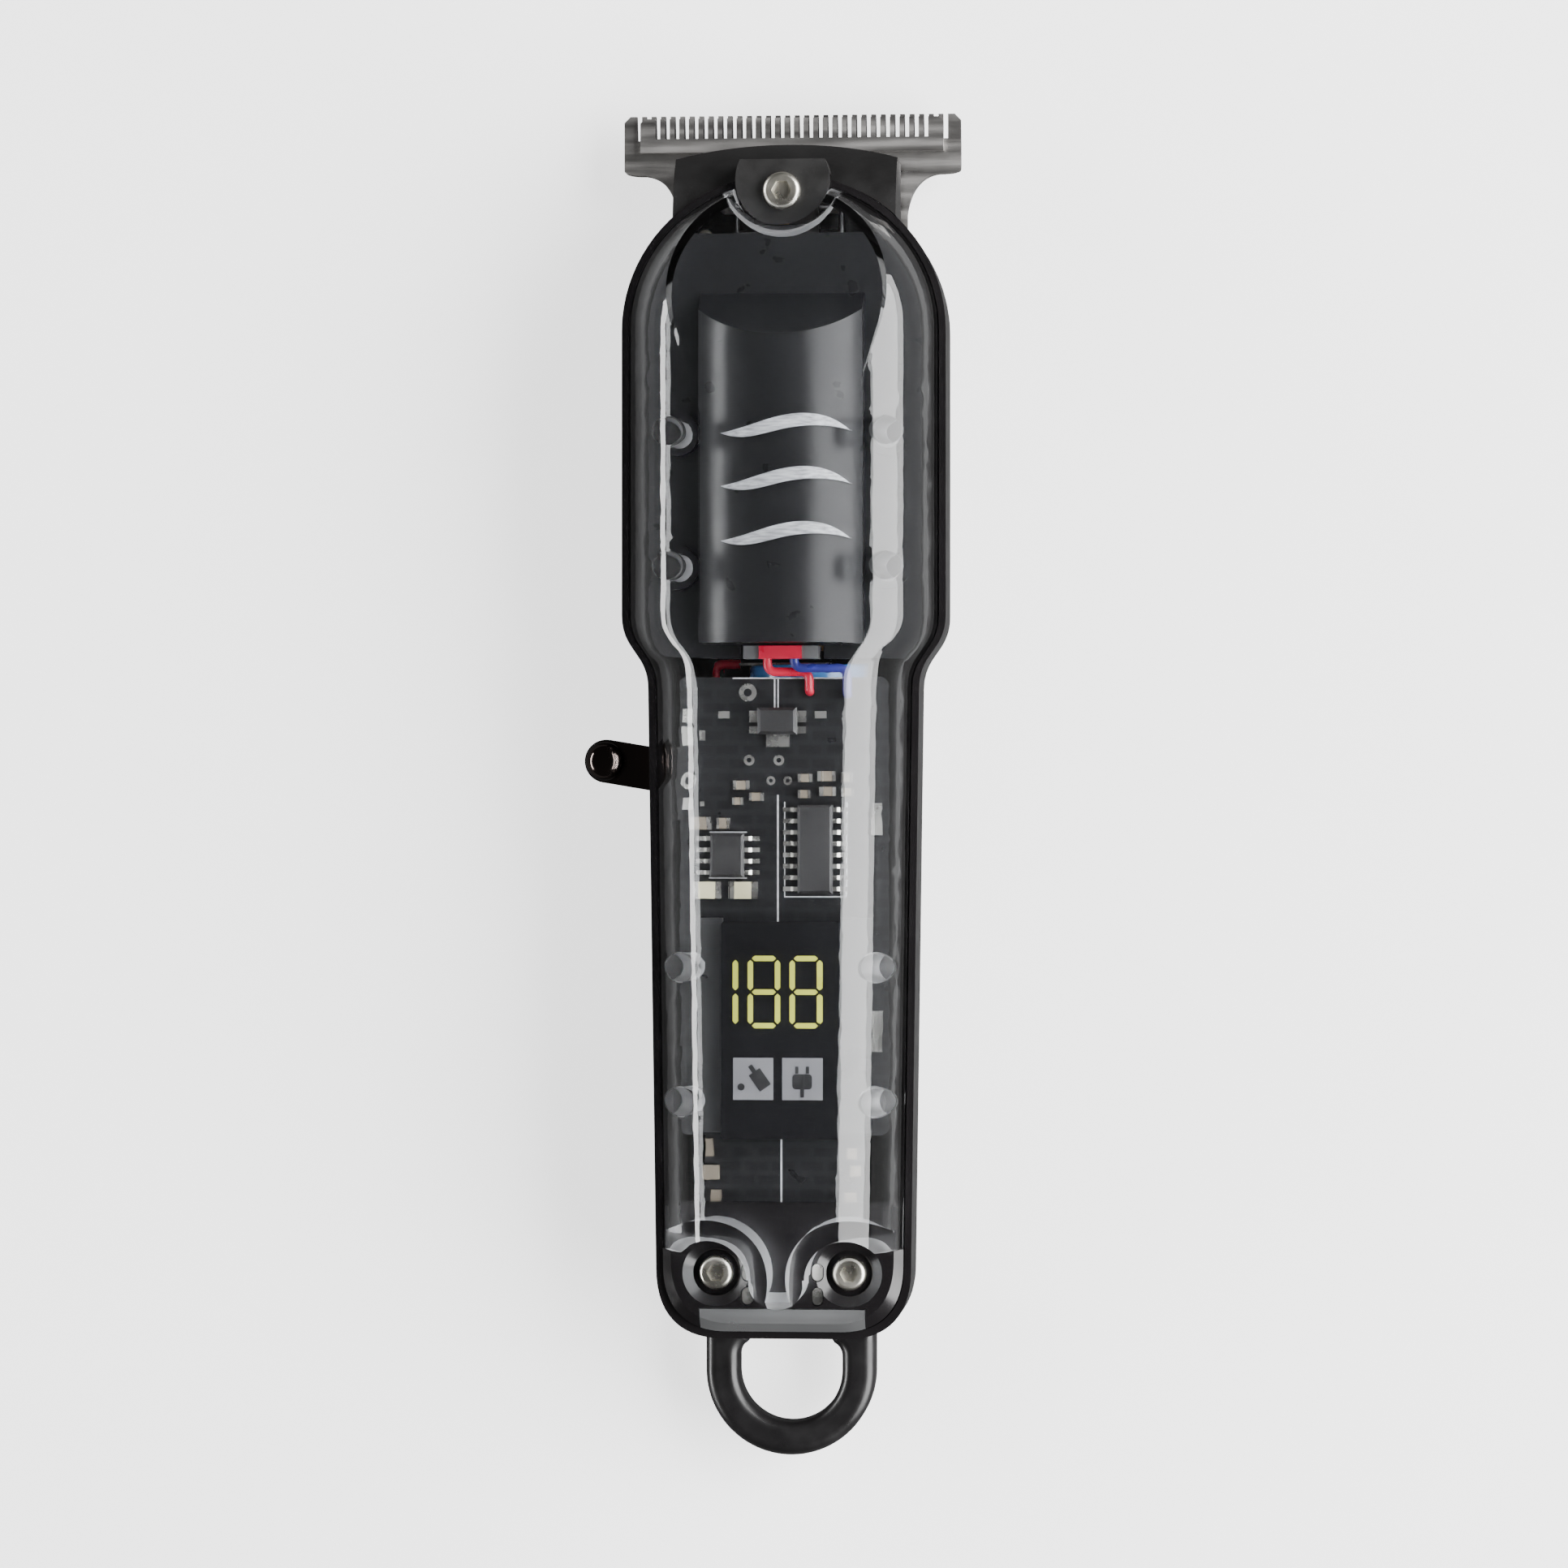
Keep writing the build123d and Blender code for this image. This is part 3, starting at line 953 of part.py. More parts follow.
def battery_cell():
    """Round lithium cell under the board."""
    body = rod_y(CELL_X, CELL_Z, CELL_TOP_Y - CELL_LENGTH, CELL_TOP_Y, CELL_RADIUS)
    return fillet(body.edges().filter_by(GeomType.CIRCLE), 0.5)


def battery_tabs():
    """Nickel strips welded to both ends of the cell."""
    pieces = []
    for y_low, reach in ((CELL_TOP_Y, TAB_REACH_TOP), (CELL_TOP_Y - CELL_LENGTH - TAB_STRIP, TAB_REACH_FOOT)):
        left = CELL_SIDE - reach
        pieces.append(block((left, CELL_X + 2.5), (y_low, y_low + TAB_STRIP), (CELL_Z - 1.6, CELL_Z + 1.6)))
    return group(pieces)


def battery_wire(left, tab_y, turn_x, rise_y):
    """Insulated wire from a cell strip round to the underside of the board."""
    path = FilletPolyline((left, tab_y, CELL_Z), (turn_x, tab_y, CELL_Z), (turn_x, rise_y, CELL_Z),
                          (turn_x, rise_y, SUPPORT_Z), radius=[1.0, 1.2])
    return tube(path, WIRE_RADIUS)


def battery_wire_red():
    """Wire from the upper end of the cell."""
    return battery_wire(CELL_SIDE - TAB_REACH_TOP, CELL_TOP_Y + TAB_STRIP / 2,
                        CELL_SIDE - WIRE_REACH_TOP, 6.6)


def battery_wire_black():
    """Wire from the lower end of the cell."""
    return battery_wire(CELL_SIDE - TAB_REACH_FOOT, CELL_TOP_Y - CELL_LENGTH - TAB_STRIP / 2,
                        CELL_SIDE - WIRE_REACH_FOOT, -35.6)


def motor_plug():
    """Red plug body that stands on the motor's brush tags."""
    return block((-PLUG_HALF + 1.8, PLUG_HALF - 1.8), PLUG_Y, (PLUG_Z, PLUG_TOP_Z))


def motor_plug_clips():
    """Clear end clips of the motor plug."""
    ends = [block(sorted((side * (PLUG_HALF - 1.8), side * PLUG_HALF)), PLUG_Y, (PLUG_Z, PLUG_TOP_Z - 0.4))
            for side in (1, -1)]
    return group(ends)


def motor_wire(start_x, run_y, run_z, end_x, end_y):
    """Wire from the motor plug that runs across the top of the board to its pad."""
    path = FilletPolyline((start_x, PLUG_Y[0], run_z), (start_x, run_y, run_z), (end_x, run_y, run_z),
                          (end_x, end_y, run_z), (end_x, end_y, BOARD_TOP_Z), radius=[0.9, 0.9, 0.6])
    return tube(path, WIRE_RADIUS * 0.9)


def motor_wire_red():
    """Red lead of the motor."""
    return motor_wire(-1.6, 9.5, BOARD_TOP_Z + 0.9, 3.1, 7.3)


def motor_wire_blue():
    """Blue lead of the motor."""
    return motor_wire(1.5, 9.9, BOARD_TOP_Z + 2.0, 7.4, 7.0)


# ================= main board =================

def main_board():
    """Black circuit board that rests on the support posts."""
    board = block((-BOARD_HALF, BOARD_HALF), (BOARD_FOOT_Y, BOARD_TOP_Y), (SUPPORT_Z, BOARD_TOP_Z))
    return fillet(board.edges().filter_by(Axis.Z), 1.0)


def plates(spots, z_low, height):
    """Flat rectangles on a board, each spot being x, y, width, length."""
    return [Pos(x, y, z_low + height / 2) * Box(width, length, height) for x, y, width, length in spots]


def board_pads():
    """Tinned pads of the switch, the wires and the test points."""
    square = [(-10.9, 4.6, 1.2, 1.6), (-10.9, 2.3, 1.3, 2.1), (-10.9, -5.3, 1.2, 1.3),
              (-9.2, 2.4, 0.6, 1.1), (-9.2, -5.3, 0.5, 0.6), (-6.6, 4.7, 1.3, 0.8), (4.3, 4.7, 1.3, 0.8),
              (10.6, -7.0, 1.1, 3.6), (10.6, -30.8, 1.1, 4.6)]
    pieces = plates(square, BOARD_TOP_Z, PAD_HEIGHT)
    rings = [(-10.9, -2.7, 0.95), (-3.9, 7.2, 1.0), (-3.75, -0.4, 0.6), (-0.4, -0.4, 0.6),
             (-1.3, -2.7, 0.5), (0.6, -2.7, 0.5)]
    for x, y, radius in rings:
        pieces.append(rod(x, y, BOARD_TOP_Z, BOARD_TOP_Z + PAD_HEIGHT, radius)
                      - rod(x, y, BOARD_TOP_Z - 1, BOARD_TOP_Z + 1, radius * 0.45))
    return group(pieces)


def chip(place):
    """Moulded body of a two-row chip."""
    x, y, pins = place
    length = pins * PIN_PITCH - 0.2
    body = Pos(x, y, BOARD_TOP_Z + 0.15 + CHIP_HEIGHT / 2) * Box(CHIP_WIDTH, length, CHIP_HEIGHT)
    body = chamfer(body.edges().group_by(Axis.Z)[-1], 0.3)
    dot = rod(x - CHIP_WIDTH / 2 + 0.8, y + length / 2 - 0.9, BOARD_TOP_Z + CHIP_HEIGHT, 25, 0.3)
    return body - dot


def chip_8_pin():
    """Small chip at the left."""
    return chip(SMALL_CHIP)


def chip_16_pin():
    """Large chip at the right."""
    return chip(LARGE_CHIP)


def leg(side):
    """One gull-wing leg, its shoulder at x = 0 and its foot outwards."""
    profile = Polyline((0, 0.85), (side * 0.5, 0.85), (side * 0.85, LEG_THICKNESS),
                       (side * LEG_REACH, LEG_THICKNESS), (side * LEG_REACH, 0), (side * 0.65, 0),
                       (side * 0.35, 0.6), (0, 0.6), (0, 0.85))
    return extrude(Plane.XZ * make_face(profile), LEG_WIDTH / 2, both=True)


def chip_legs():
    """Tinned legs of both chips and of the transistor."""
    pieces = []
    for x, y, pins in (SMALL_CHIP, LARGE_CHIP):
        for index in range(pins):
            leg_y = y + (index - (pins - 1) / 2) * PIN_PITCH
            for side in (1, -1):
                pieces.append(Pos(x + side * CHIP_WIDTH / 2, leg_y, BOARD_TOP_Z) * leg(side))
    x, y = TRANSISTOR
    feet = [(x - 2.7, y + 0.5, 1.0, 1.3), (x + 2.7, y + 0.5, 1.0, 1.3), (x - 2.7, y - 1.0, 1.0, 0.8),
            (x + 2.7, y - 1.0, 1.0, 0.8), (x, y - 2.2, 2.6, 1.4)]
    return group(pieces + plates(feet, BOARD_TOP_Z, 0.5))


def power_transistor():
    """Motor transistor below the motor wires."""
    x, y = TRANSISTOR
    body = Pos(x, y, BOARD_TOP_Z + 0.1 + 0.8) * Box(4.4, 3.0, 1.6)
    return chamfer(body.edges().group_by(Axis.Z)[-1], 0.35)


def small_part_spots():
    """Chip capacitors and resistors: x, y, length along X, width along Y."""
    return [(-9.3, -7.5, 2.4, 1.4), (-6.7, -7.5, 1.6, 1.2), (-4.6, -3.2, 1.8, 1.0), (-2.9, -4.5, 1.6, 0.9),
            (-5.0, -5.0, 1.2, 0.8), (2.6, -2.4, 1.6, 0.9), (5.0, -2.2, 2.0, 1.1), (7.3, -2.3, 1.4, 1.1),
            (2.5, -4.2, 1.4, 0.9), (5.1, -3.9, 1.8, 1.0), (7.4, -4.0, 1.4, 0.9)]


def chip_components():
    """Ceramic bodies of the small parts on the board."""
    spots = [(x, y, length * 0.6, width) for x, y, length, width in small_part_spots()]
    return group(plates(spots, BOARD_TOP_Z, 0.7))


def component_terminals():
    """Tinned end caps of the small parts and the lamps."""
    ends = []
    lamps = [(x, LAMP_Y, LAMP_SIZE[0] + 1.4, LAMP_SIZE[1]) for x in LAMP_X]
    for x, y, length, width in small_part_spots() + lamps:
        end = length * 0.2 if (x, y, length, width) not in lamps else 0.7
        for side in (1, -1):
            ends.append((x + side * (length - end) / 2, y, end, width))
    return group(plates(ends, BOARD_TOP_Z, 0.75))


def status_lamps():
    """Two small pale lamps on the board."""
    spots = [(x, LAMP_Y, *LAMP_SIZE) for x in LAMP_X]
    return group(plates(spots, BOARD_TOP_Z, 0.9))


# ================= display =================

def display_case():
    """Black display block on the board, with flat sides and a flat front."""
    width, length = DISPLAY_SIZE
    top_z = BOARD_TOP_Z + DISPLAY_HEIGHT
    body = block((-width / 2, width / 2), (DISPLAY_Y - length / 2, DISPLAY_Y + length / 2),
                 (BOARD_TOP_Z, top_z))
    return fillet(body.edges().filter_by(Axis.Z), 0.4)


def segment(x, y, length, upright):
    """One bar of a digit with pointed ends."""
    half = SEGMENT_WIDTH / 2
    reach = length / 2 - SEGMENT_GAP
    shape = make_face(Polyline((-reach, 0), (half - reach, half), (reach - half, half), (reach, 0),
                               (reach - half, -half), (half - reach, -half), (-reach, 0)))
    return Pos(x, y) * Rot(0, 0, 90 if upright else 0) * shape


def digit(x, bars):
    """Seven-segment digit; bars names the lit ones from a to g."""
    width, height = DIGIT_SIZE
    span = width - SEGMENT_WIDTH
    rise = (height - SEGMENT_WIDTH) / 2
    places = {"a": (0, rise, span, False), "b": (span / 2, rise / 2, rise, True),
              "c": (span / 2, -rise / 2, rise, True), "d": (0, -rise, span, False),
              "e": (-span / 2, -rise / 2, rise, True), "f": (-span / 2, rise / 2, rise, True),
              "g": (0, 0, span, False)}
    return [segment(x + places[bar][0], DIGIT_Y + places[bar][1], *places[bar][2:]) for bar in bars]


def display_segments():
    """Lit bars of the number 188."""
    width = DIGIT_SIZE[0]
    bars = digit(DIGIT_ONE_X - (width - SEGMENT_WIDTH) / 2, "bc")
    for x in DIGIT_CENTRES_X:
        bars += digit(x, "abcdefg")
    low = BOARD_TOP_Z + DISPLAY_HEIGHT
    return group([tall(bar, low, low + GLOW_HEIGHT) for bar in bars])


def icon_tiles():
    """Two pale square windows under the digits."""
    low = BOARD_TOP_Z + DISPLAY_HEIGHT
    return group(plates([(x, ICON_Y, *ICON_SIZE) for x in ICON_X], low, GLOW_HEIGHT))


def icon_marks():
    """Dark pictograms on the windows: an oil bottle with a drop, and a mains plug."""
    low = BOARD_TOP_Z + DISPLAY_HEIGHT + GLOW_HEIGHT
    x = ICON_X[0]
    upright_bottle = Rectangle(1.5, 2.2) + Pos(0, 1.5) * Rectangle(0.5, 0.9)
    bottle = Pos(x + 0.75, ICON_Y - 0.1) * Rot(0, 0, 35) * upright_bottle
    drop = Pos(x - 1.35, ICON_Y - 0.9) * Circle(0.4)
    x = ICON_X[1]
    plug = Pos(x, ICON_Y - 0.3) * RectangleRounded(2.2, 1.7, 0.4)
    prongs = [Pos(x + side * 0.6, ICON_Y + 1.0) * Rectangle(0.35, 0.8) for side in (1, -1)]
    lead = Pos(x, ICON_Y - 1.6) * Rectangle(0.4, 0.9)
    return group([tall(sketch, low, low + 0.06) for sketch in (bottle, drop, plug + prongs + lead)])


def display_side_strips():
    """Two frosted light strips beside the display."""
    pieces = []
    for side in (1, -1):
        inner = side * (DISPLAY_SIZE[0] / 2 + FIT)
        outer = side * (DISPLAY_SIZE[0] / 2 + FIT + STRIP_WIDTH)
        strip = block(sorted((inner, outer)), (DISPLAY_Y - 11.5, DISPLAY_Y + 12.5),
                      (BOARD_TOP_Z, BOARD_TOP_Z + STRIP_HEIGHT))
        for x, y in both_sides(HANDLE_PEGS):
            strip -= rod(x, y, BOARD_TOP_Z - 1, 30, PEG_RADIUS + FIT)
        pieces.append(strip)
    return group(pieces)


# ================= switch and lever =================

def switch_body():
    """Slide switch under the left edge of the board, open towards the lever."""
    width, length, height = SWITCH_SIZE
    middle_y = (NIB_REST_Y + NIB_END_Y) / 2
    body = block((NIB_X - width / 2, NIB_X + width / 2), (middle_y - length / 2, middle_y + length / 2),
                 (SUPPORT_Z - height, SUPPORT_Z))
    travel = abs(NIB_REST_Y - NIB_END_Y)
    half = travel / 2 + SLIDER_HALF + FIT
    return body - block((NIB_X - 0.75, NIB_X + 0.75), (middle_y - half, middle_y + half),
                        (SUPPORT_Z - height - 1, SUPPORT_Z - 0.5))


def switch_slider():
    """Slider of the switch with the nib that the lever pushes."""
    bottom_z = SUPPORT_Z - SWITCH_SIZE[2]
    plate = block((NIB_X - 0.65, NIB_X + 0.65), (NIB_REST_Y - SLIDER_HALF, NIB_REST_Y + SLIDER_HALF),
                  (bottom_z + 0.2, SUPPORT_Z - 0.6))
    return plate + rod(NIB_X, NIB_REST_Y, LEVER_Z + 0.1, bottom_z + 0.4, NIB_RADIUS)


def on_lever(shape):
    """Turn a shape drawn with the pivot at the origin and the arm along -X to its rest place."""
    return Pos(LEVER_PIVOT[0], LEVER_PIVOT[1], 0) * Rot(0, 0, -LEVER_REST_ANGLE) * shape


def power_lever():
    """Flat metal lever: hub, arm with a rounded tip, slot for the nib."""
    arm = Pos(-LEVER_REACH / 2, 0) * Rectangle(LEVER_REACH, 2 * LEVER_HALF_WIDTH)
    tip = Pos(-LEVER_REACH, 0) * Circle(LEVER_HALF_WIDTH)
    hub = Circle(LEVER_HALF_WIDTH)
    nib_reach = (LEVER_PIVOT[0] - NIB_X) / cos(radians((LEVER_REST_ANGLE + LEVER_END_ANGLE) / 2))
    slot = Pos(-nib_reach - 0.05, 0) * SlotCenterToCenter(0.3, 2 * (NIB_RADIUS + 0.13))
    plan = arm + tip + hub - slot - Circle(LEVER_PIN_RADIUS + RUNNING_FIT)
    body = extrude(Pos(0, 0, LEVER_Z) * plan, LEVER_THICKNESS)
    return on_lever(body)


def lever_knob():
    """Domed thumb knob riveted on the lever's tip."""
    low = LEVER_Z + LEVER_THICKNESS
    knob = rod(-LEVER_REACH, 0, low, low + KNOB_HEIGHT, KNOB_RADIUS)
    return on_lever(fillet(knob.edges().group_by(Axis.Z)[-1], KNOB_RADIUS * 0.75))


def lever_pivot_screw():
    """Shoulder screw that the lever turns on."""
    x, y = LEVER_PIVOT
    seat_z = LEVER_Z + LEVER_THICKNESS + RUNNING_FIT
    return Pos(x, y, seat_z) * screw(1.8, seat_z - FLOOR - 2.4, LEVER_PIN_RADIUS, 1.0)


# ================= charging parts =================

def charge_board():
    """Lower board with the charging socket, stepped between the screw bosses."""
    narrow = USB_LEG_X + 0.75
    wide = block((-CHARGE_BOARD_HALF, CHARGE_BOARD_HALF), (CHARGE_BOARD_SHOULDER_Y, CHARGE_BOARD_TOP_Y),
                 (CHARGE_BOARD_Z, CHARGE_BOARD_Z + BOARD_THICKNESS))
    tongue = block((-narrow, narrow), (CHARGE_BOARD_FOOT_Y, CHARGE_BOARD_SHOULDER_Y),
                   (CHARGE_BOARD_Z, CHARGE_BOARD_Z + BOARD_THICKNESS))
    body = wide + tongue
    for side in (1, -1):
        for y in USB_LEG_Y:
            body -= Pos(side * USB_LEG_X, y, CHARGE_BOARD_Z) * Box(0.6, 1.7, 4)
    for index in range(HEADER_PINS):
        body -= rod(header_x(index), HEADER_Y, CHARGE_BOARD_Z - 1, CHARGE_BOARD_Z + 3, 0.4)
    return body


def header_x(index):
    """Place of one header pin across the board."""
    return (index - (HEADER_PINS - 1) / 2) * 2.0


def board_link_pins():
    """Row of pins that joins the charging board to the main board."""
    return group([rod(header_x(index), HEADER_Y, CHARGE_BOARD_Z - 0.6, SUPPORT_Z, 0.35)
                  for index in range(HEADER_PINS)])


def charge_board_parts():
    """Small parts at the top corners of the charging board."""
    spots = [(-8.6, -44.0, 1.0, 2.0), (-8.4, -46.8, 1.8, 1.6), (7.9, -44.6, 1.2, 1.2), (8.2, -46.6, 1.2, 1.2),
             (7.6, -49.6, 1.4, 1.2), (-7.8, -49.4, 1.2, 1.2)]
    return group(plates(spots, CHARGE_BOARD_Z + BOARD_THICKNESS, 0.8))


def usb_socket_shell():
    """Steel shell of the charging socket with four legs through the board."""
    y_high = USB_MOUTH_Y + USB_LENGTH
    outer = usb_outline(0, USB_MOUTH_Y, y_high)
    body = outer - usb_outline(-USB_WALL, USB_MOUTH_Y - 1, y_high - USB_WALL)
    for side in (1, -1):
        for y in USB_LEG_Y:
            body += block(sorted((side * (USB_LEG_X - 0.15), side * (USB_LEG_X + 0.15))), (y - 0.7, y + 0.7),
                          (CHARGE_BOARD_Z - 1.4, CHARGE_BOARD_Z + BOARD_THICKNESS))
    return body


def usb_tongue():
    """Contact tongue inside the socket."""
    middle_z = CHARGE_BOARD_Z - USB_HEIGHT / 2 - 0.05
    y_high = USB_MOUTH_Y + USB_LENGTH - USB_WALL
    return block((-3.35, 3.35), (USB_MOUTH_Y + 0.9, y_high), (middle_z - 0.35, middle_z + 0.35))


def socket_solder_lugs():
    """Raised solder lugs over the socket legs, seen through the tail cover."""
    pieces = []
    for side in (1, -1):
        for y in USB_LEG_Y:
            lug = Pos(side * LUG_X, y) * SlotOverall(LUG_SIZE[1], LUG_SIZE[0], rotation=90)
            pieces.append(tall(lug, CHARGE_BOARD_Z + BOARD_THICKNESS, TAIL_TOP_Z - 0.5))
    return group(pieces)


# ================= cover screws =================

def cover_top_screw():
    """Screw that holds the head cover's tab to the casing."""
    seat_z = TAB_Z + TAB_THICKNESS
    return Pos(0, TOP_SCREW_Y, seat_z) * screw(TOP_SCREW_HEAD, seat_z - YOKE_OPENING_TOP_Z - 0.3)


def cover_bottom_screws():
    """Two screws in the dished recesses of the tail cover."""
    one = screw(TAIL_SCREW_HEAD, TAIL_SEAT_Z - FLOOR - 1.4)
    return group([Pos(x, y, TAIL_SEAT_Z) * one for x, y in both_sides([TAIL_SCREW])])


# ================= build =================

NODES = [
    rear_housing, clear_cover, tail_cover, hanging_loop, head_cover, port_light_guide,
    fixed_blade, moving_blade, blade_screws, blade_tension_spring, drive_yoke,
    motor_can, motor_magnets, motor_end_cap, motor_brushes, motor_bushes, motor_bracket, motor_screws,
    rotor_shaft, rotor_core, commutator, eccentric_cam, motor_cover,
    battery_cell, battery_tabs, battery_wire_red, battery_wire_black,
    motor_plug, motor_plug_clips, motor_wire_red, motor_wire_blue,
    main_board, board_pads, chip_8_pin, chip_16_pin, chip_legs, power_transistor,
    chip_components, component_terminals, status_lamps,
    display_case, display_segments, icon_tiles, icon_marks, display_side_strips,
    switch_body, switch_slider, power_lever, lever_knob, lever_pivot_screw,
    charge_board, board_link_pins, charge_board_parts, usb_socket_shell, usb_tongue, socket_solder_lugs,
    cover_top_screw, cover_bottom_screws,
]

os.makedirs("parts", exist_ok=True)
for make in NODES:
    export_step(make(), f"parts/{make.__name__}.step")
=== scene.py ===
import json

import bpy
from mathutils import Matrix, Vector


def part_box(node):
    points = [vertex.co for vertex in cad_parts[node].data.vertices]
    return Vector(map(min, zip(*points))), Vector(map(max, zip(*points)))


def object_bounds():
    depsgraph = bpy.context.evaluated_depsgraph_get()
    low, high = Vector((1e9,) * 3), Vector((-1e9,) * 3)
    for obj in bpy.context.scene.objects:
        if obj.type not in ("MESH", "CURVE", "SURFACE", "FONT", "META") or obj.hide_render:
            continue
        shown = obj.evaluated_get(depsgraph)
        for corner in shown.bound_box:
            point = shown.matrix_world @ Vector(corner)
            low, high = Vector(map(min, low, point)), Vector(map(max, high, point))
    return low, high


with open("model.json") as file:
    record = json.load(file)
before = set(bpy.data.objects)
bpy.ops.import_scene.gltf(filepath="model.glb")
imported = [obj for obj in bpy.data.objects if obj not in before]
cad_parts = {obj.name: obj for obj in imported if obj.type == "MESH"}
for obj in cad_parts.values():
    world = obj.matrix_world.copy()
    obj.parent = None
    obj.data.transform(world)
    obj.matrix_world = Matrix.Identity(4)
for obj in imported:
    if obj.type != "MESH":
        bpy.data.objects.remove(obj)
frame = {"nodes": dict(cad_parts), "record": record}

# Hair clipper on its back: clear front up (+Z), blade towards +Y. Lengths are metres, as in the frame.

MM = 0.001
CAD_LOW, CAD_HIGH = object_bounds()


# ---- node helpers ----

NOISE_LOW, NOISE_HIGH = 0.3, 0.7          # most values of a noise lie between these
# the Mix node's colour sockets go by number, since other sockets of the node have the same names
MIX_FIRST, MIX_SECOND, MIX_RESULT = 6, 7, 2


class Nodes:
    """A new material, with short ways to add nodes to it and to link them."""

    def __init__(self, name):
        self.material = bpy.data.materials.new(name)
        self.material.use_nodes = True
        self.tree = self.material.node_tree
        self.shader = self.tree.nodes["Principled BSDF"]
        self.output = self.tree.nodes["Material Output"]
        self.place = self.tree.nodes.new("ShaderNodeTexCoord").outputs["Object"]

    def fill(self, node, values):
        """Gives inputs of a node their values, each a constant or a socket to link from."""
        for key, value in values.items():
            if hasattr(value, "is_linked"):
                self.tree.links.new(value, node.inputs[key])
            else:
                node.inputs[key].default_value = value

    def shade(self, values):
        """Gives inputs of the main shader their values."""
        self.fill(self.shader, values)

    def add(self, kind, values=None, **settings):
        """New node with these settings and input values."""
        node = self.tree.nodes.new(kind)
        for key, value in settings.items():
            setattr(node, key, value)
        self.fill(node, values or {})
        return node

    def math(self, operation, *values):
        """Result of an operation on one or two values."""
        return self.add("ShaderNodeMath", dict(enumerate(values)), operation=operation).outputs[0]

    def axes(self, vector):
        """Sockets "X", "Y" and "Z" of a vector."""
        return self.add("ShaderNodeSeparateXYZ", {"Vector": vector}).outputs

    def away(self, centre, axes, names):
        """Distance from a centre, measured along the named axes only."""
        flat = self.add("ShaderNodeCombineXYZ", {name: axes[name] for name in names}).outputs[0]
        values = {0: flat, 1: centre}
        return self.add("ShaderNodeVectorMath", values, operation="DISTANCE").outputs["Value"]

    def noise(self, size, stretch=(1, 1, 1), detail=4.0):
        """Noise whose features are about `size` metres wide, stretched along the axes."""
        scale = [1 / s for s in stretch]
        mapping = self.add("ShaderNodeMapping", {"Vector": self.place, "Scale": scale})
        values = {"Vector": mapping.outputs["Vector"], "Scale": 1 / size, "Detail": detail}
        return self.add("ShaderNodeTexNoise", values).outputs["Fac"]

    def spread(self, value, low, high, start=NOISE_LOW, end=NOISE_HIGH):
        """A value that goes from start to end, mapped to the range from low to high."""
        values = {"Value": value, "From Min": start, "From Max": end, "To Min": low, "To Max": high}
        return self.add("ShaderNodeMapRange", values).outputs["Result"]

    def between(self, value, low, high, blur):
        """1 where the value lies between low and high, fading out over `blur` at both."""
        rise = self.spread(value, 0, 1, low - blur, low + blur)
        fall = self.spread(value, 1, 0, high - blur, high + blur)
        return self.math("MULTIPLY", rise, fall)

    def blend(self, factor, first, second):
        """Mix of two colours or colour sockets."""
        values = {"Factor": factor, MIX_FIRST: first, MIX_SECOND: second}
        return self.add("ShaderNodeMix", values, data_type="RGBA").outputs[MIX_RESULT]

    def bump(self, height, depth, strength=1.0):
        """Fine relief in the main shader, `depth` metres deep."""
        values = {"Height": height, "Distance": depth, "Strength": strength}
        self.shade({"Normal": self.add("ShaderNodeBump", values).outputs["Normal"]})

    def show(self, ray, otherwise, for_ray):
        """Shows one shader to the named kind of light ray and another to all others."""
        path = self.add("ShaderNodeLightPath")
        mix = self.add("ShaderNodeMixShader", {0: path.outputs[ray], 1: otherwise.outputs[0],
                                               2: for_ray.outputs[0]})
        self.fill(self.output, {"Surface": mix.outputs[0]})


def rgba(colour, gain=1.0):
    """Colour with full alpha, made lighter or darker by the gain."""
    return tuple(min(1.0, channel * gain) for channel in colour) + (1.0,)


# ---- common materials ----

DRIFT_SIZE = 9 * MM                       # areas of lighter and darker colour
PATCH_SIZE = 3 * MM                       # areas of smoother and rougher surface
LEAST_ROUGHNESS = 0.02
COAT_ROUGHNESS = 0.05
CLEAR_PLASTIC_IOR = 1.49
FROSTED_LAMP_TINT = (0.6, 0.62, 0.63, 1)
GLOW_PATCH_SIZE = 1.5 * MM
GLOW_LEAST = 0.75                         # light of the dimmest patch against the brightest


def surface(name, colour, rough, metal=0.0, grain=0.4 * MM, depth=0.01 * MM, tint=0.25, worn=0.1,
            stretch=(1, 1, 1), coat=0.0):
    """Base of most materials: colour drift, roughness patches and a fine bump.

    The colour drifts by the share `tint` and the roughness by `worn`. `grain` is the size of the
    bump's features and `depth` their depth.
    """
    n = Nodes(name)
    drift = n.spread(n.noise(DRIFT_SIZE, detail=3.0), 0, 1)
    n.shade({"Base Color": n.blend(drift, rgba(colour, 1 - tint), rgba(colour, 1 + tint))})
    patches = n.noise(PATCH_SIZE, stretch)
    low, high = max(LEAST_ROUGHNESS, rough - worn), min(1.0, rough + worn)
    n.shade({"Roughness": n.spread(patches, low, high), "Metallic": metal,
             "Coat Weight": coat, "Coat Roughness": COAT_ROUGHNESS})
    n.bump(n.noise(grain, stretch), depth)
    return n


def opaque(name, colour, rough, **options):
    """Finished material that is a plain surface."""
    return surface(name, colour, rough, **options).material


def lets_lamps_through(n, tint):
    """Is clear and tinted to the lamps' rays, so that light reaches what is behind the surface."""
    n.show("Is Shadow Ray", n.shader, n.add("ShaderNodeBsdfTransparent", {"Color": tint}))


